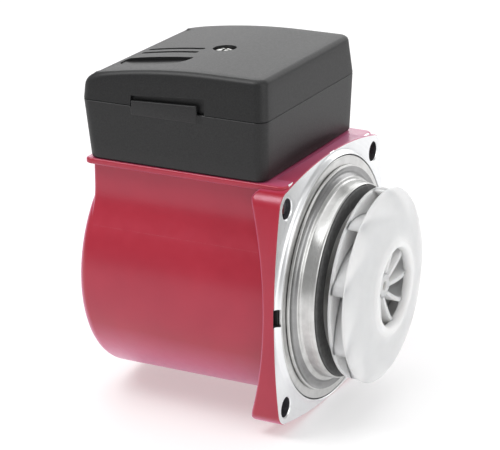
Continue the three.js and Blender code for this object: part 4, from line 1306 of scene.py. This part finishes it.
def terminal_block():
    """The strip with three screw wells, the wires' mouths behind them, and two dividing grooves."""
    low, high = box_mm("terminal_block")
    pitch, well_x, well_r, well_floor = 12, -24, 2.9, 61
    body = soften(block("terminal_strip", low, high, 0.8), 0.5)
    cutters = []
    for y in (-pitch, 0, pitch):
        cutters.append(rod("well", well_r, well_floor, high[2] + 2, (well_x, y, 0), "Z", SCREW_STEPS))
        cutters.append(block("mouth", (low[0] - 1, y - 2, 61.5), (well_x + 2, y + 2, 65.5)))
    for y in (-pitch / 2, pitch / 2):
        cutters.append(block("groove", (low[0] - 1, y - 0.7, 66.5), (high[0] + 1, y + 0.7, high[2] + 1)))
    cut(body, cutters)
    finish_piece(body, "cream_plastic", "terminal_block")
    for i in range(3):
        screw(f"clamp_screw_{i + 1}", f"terminal_screw_{i + 1}", "brass", 1.8, 1.4)


LEAD_R = 1.08
LEAD_ROUTES = {
    "blue_lead": [(-68, -13, 62), (-46, -12.5, 63.5), (-32.5, -12, 63.5)],
    "brown_lead": [(-67, -10, 62), (-44, -8, 63.5), (-32.5, 0, 63.5)],
    "black_lead": [(-66, -7.4, 62), (-47, -6.4, 67.5), (-38, 6, 67), (-32.5, 12, 63.5)],
}


def lead(number, slot, route):
    """An insulated wire, straight up through the lead opening and then along its own smooth route."""
    y = 3 * number - 16
    path = [Vector(p) for p in smooth_curve([(-79, y, 46.2), (-79.2, y, 52), (-78, y, 58)] + route, 10)]
    circle = arc((0, 0), LEAD_R, 0, 337.5, 15)
    loops = []
    for i, point in enumerate(path):
        along = (path[min(i + 1, len(path) - 1)] - path[max(i - 1, 0)]).normalized()
        side = along.cross(Vector((0, 1, 0))).normalized()
        other = side.cross(along).normalized()
        loops.append([tuple(point + side * u + other * v) for u, v in circle])
    name = f"motor_lead_{number}"
    finish_piece(loft(name + "_wire", loops), slot, name)


def small_parts():
    for i in range(4):
        screw(f"box_screw_{i + 1}", f"base_screw_{i + 1}", "steel", 2.2, 1.8, crossed=True)
    screw("cover_screw", "lid_screw", "steel", 2.0, 1.7, "lid_screw", crossed=True)
    screw("earthing_screw", "earth_screw", "brass", 2.2, 1.8)
    ring_piece("earthing_washer", "earth_washer", 2.1, 0.12, "brass", axis="Z")
    ring_piece("cover_screw_seal", "lid_screw_seal", 2.1, 0.2, "rubber", "lid_screw_collar", "Z")
    ring_piece("vent_plug_ring", "vent_plug_seal", 8.3, 0.4, "rubber", "vent_plug_collar")
    ring_piece("flange_seal", "housing_seal", 50.0, 0.5, "rubber")
    ring_piece("plate_gasket", "bearing_plate_gasket", 35, 0.3, "grey_rubber")


# ---------------- hidden CAD nodes

HIDDEN_NODES = {
    "lamination": ("stator_core", "rotor_core"),
    "copper_winding": ("stator_winding_front", "stator_winding_rear"),
    "steel": ("rotor_cladding",),
    "rotor_aluminium": ("rotor_end_ring_front", "rotor_end_ring_rear"),
    "carbon": ("front_bearing", "rear_bearing", "thrust_washer"),
    "rubber": ("thrust_washer_holder", "terminal_box_gasket", "lid_gasket"),
}


def dress_hidden_nodes():
    """Looks for the CAD nodes that are kept as they are."""
    for slot, names in HIDDEN_NODES.items():
        for name in names:
            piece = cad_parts[name]
            if not piece.data.materials:
                piece.data.materials.append(LOOKS[slot])
            for place in piece.material_slots:
                place.material = LOOKS[slot]


# ---------------- studio

def floor():
    """A plain pale floor that also glows a little, so that it stays pale under soft light."""
    half = 4000
    z = cad_low[2] / MM - 0.2
    corners = [(-half, -half, z), (half, -half, z), (half, half, z), (-half, half, z)]
    piece = make_object("studio_floor", corners, [(0, 1, 2, 3)])
    material = new_material(
        "studio_floor", (0.62, 0.62, 0.62), 0.7,
        Emission_Strength=0.42, Emission_Color=(1.0, 0.99, 1.0, 1.0),
    )
    shade_color(material, noise_of(material, 3, 2), (0.61, 0.61, 0.61), (0.63, 0.63, 0.63))
    piece.data.materials.append(material)


def area_light(name, location, target, size, power):
    data = bpy.data.lights.new(name, "AREA")
    data.shape = "RECTANGLE"
    data.size, data.size_y = size
    data.energy = power
    lamp = new_object(name, data)
    lamp.location = location
    lamp.rotation_euler = (Vector(target) - Vector(location)).to_track_quat("-Z", "Y").to_euler()


def studio():
    bpy.context.scene.view_settings.view_transform = "Standard"
    world = bpy.data.worlds.new("studio")
    world.use_nodes = True
    background = world.node_tree.nodes["Background"]
    background.inputs["Color"].default_value = (1, 1, 1, 1)
    background.inputs["Strength"].default_value = 0.4
    bpy.context.scene.world = world
    area_light("top_softbox", (-0.1, 0.1, 1.0), (-0.04, 0, 0), size=(1.2, 1.2), power=5.0)
    area_light("band_softbox", (-0.55, -0.42, 0.95), (-0.05, 0, 0.02), size=(0.55, 0.5), power=6.0)
    area_light("rear_softbox", (-0.2, 1.55, 0.6), (-0.05, 0, 0.08), size=(2.4, 0.8), power=11.0)
    area_light("front_softbox", (1.0, -0.15, 0.45), (0, 0, 0), size=(0.8, 0.8), power=3.6)


def camera():
    """The viewing angle: from the impeller's side, a little above."""
    place = (0.36938, -0.82228, 0.33936)
    looking = Vector((-0.42039, 0.84500, -0.33051))
    data = bpy.data.cameras.new("camera")
    data.sensor_width = 36
    data.lens = 157.33
    data.clip_end = 20
    eye = new_object("camera", data)
    eye.location = place
    eye.rotation_euler = looking.to_track_quat("-Z", "Y").to_euler()
    bpy.context.scene.camera = eye


stator_housing()
rotor_can()
bearing_plate()
impeller()
shaft()
terminal_box_base()
terminal_box_lid()
vent_plug()
gland()
capacitor()
terminal_block()
for lead_index, (lead_slot, lead_route) in enumerate(LEAD_ROUTES.items()):
    lead(lead_index + 1, lead_slot, lead_route)
small_parts()
dress_hidden_nodes()
floor()
studio()
camera()
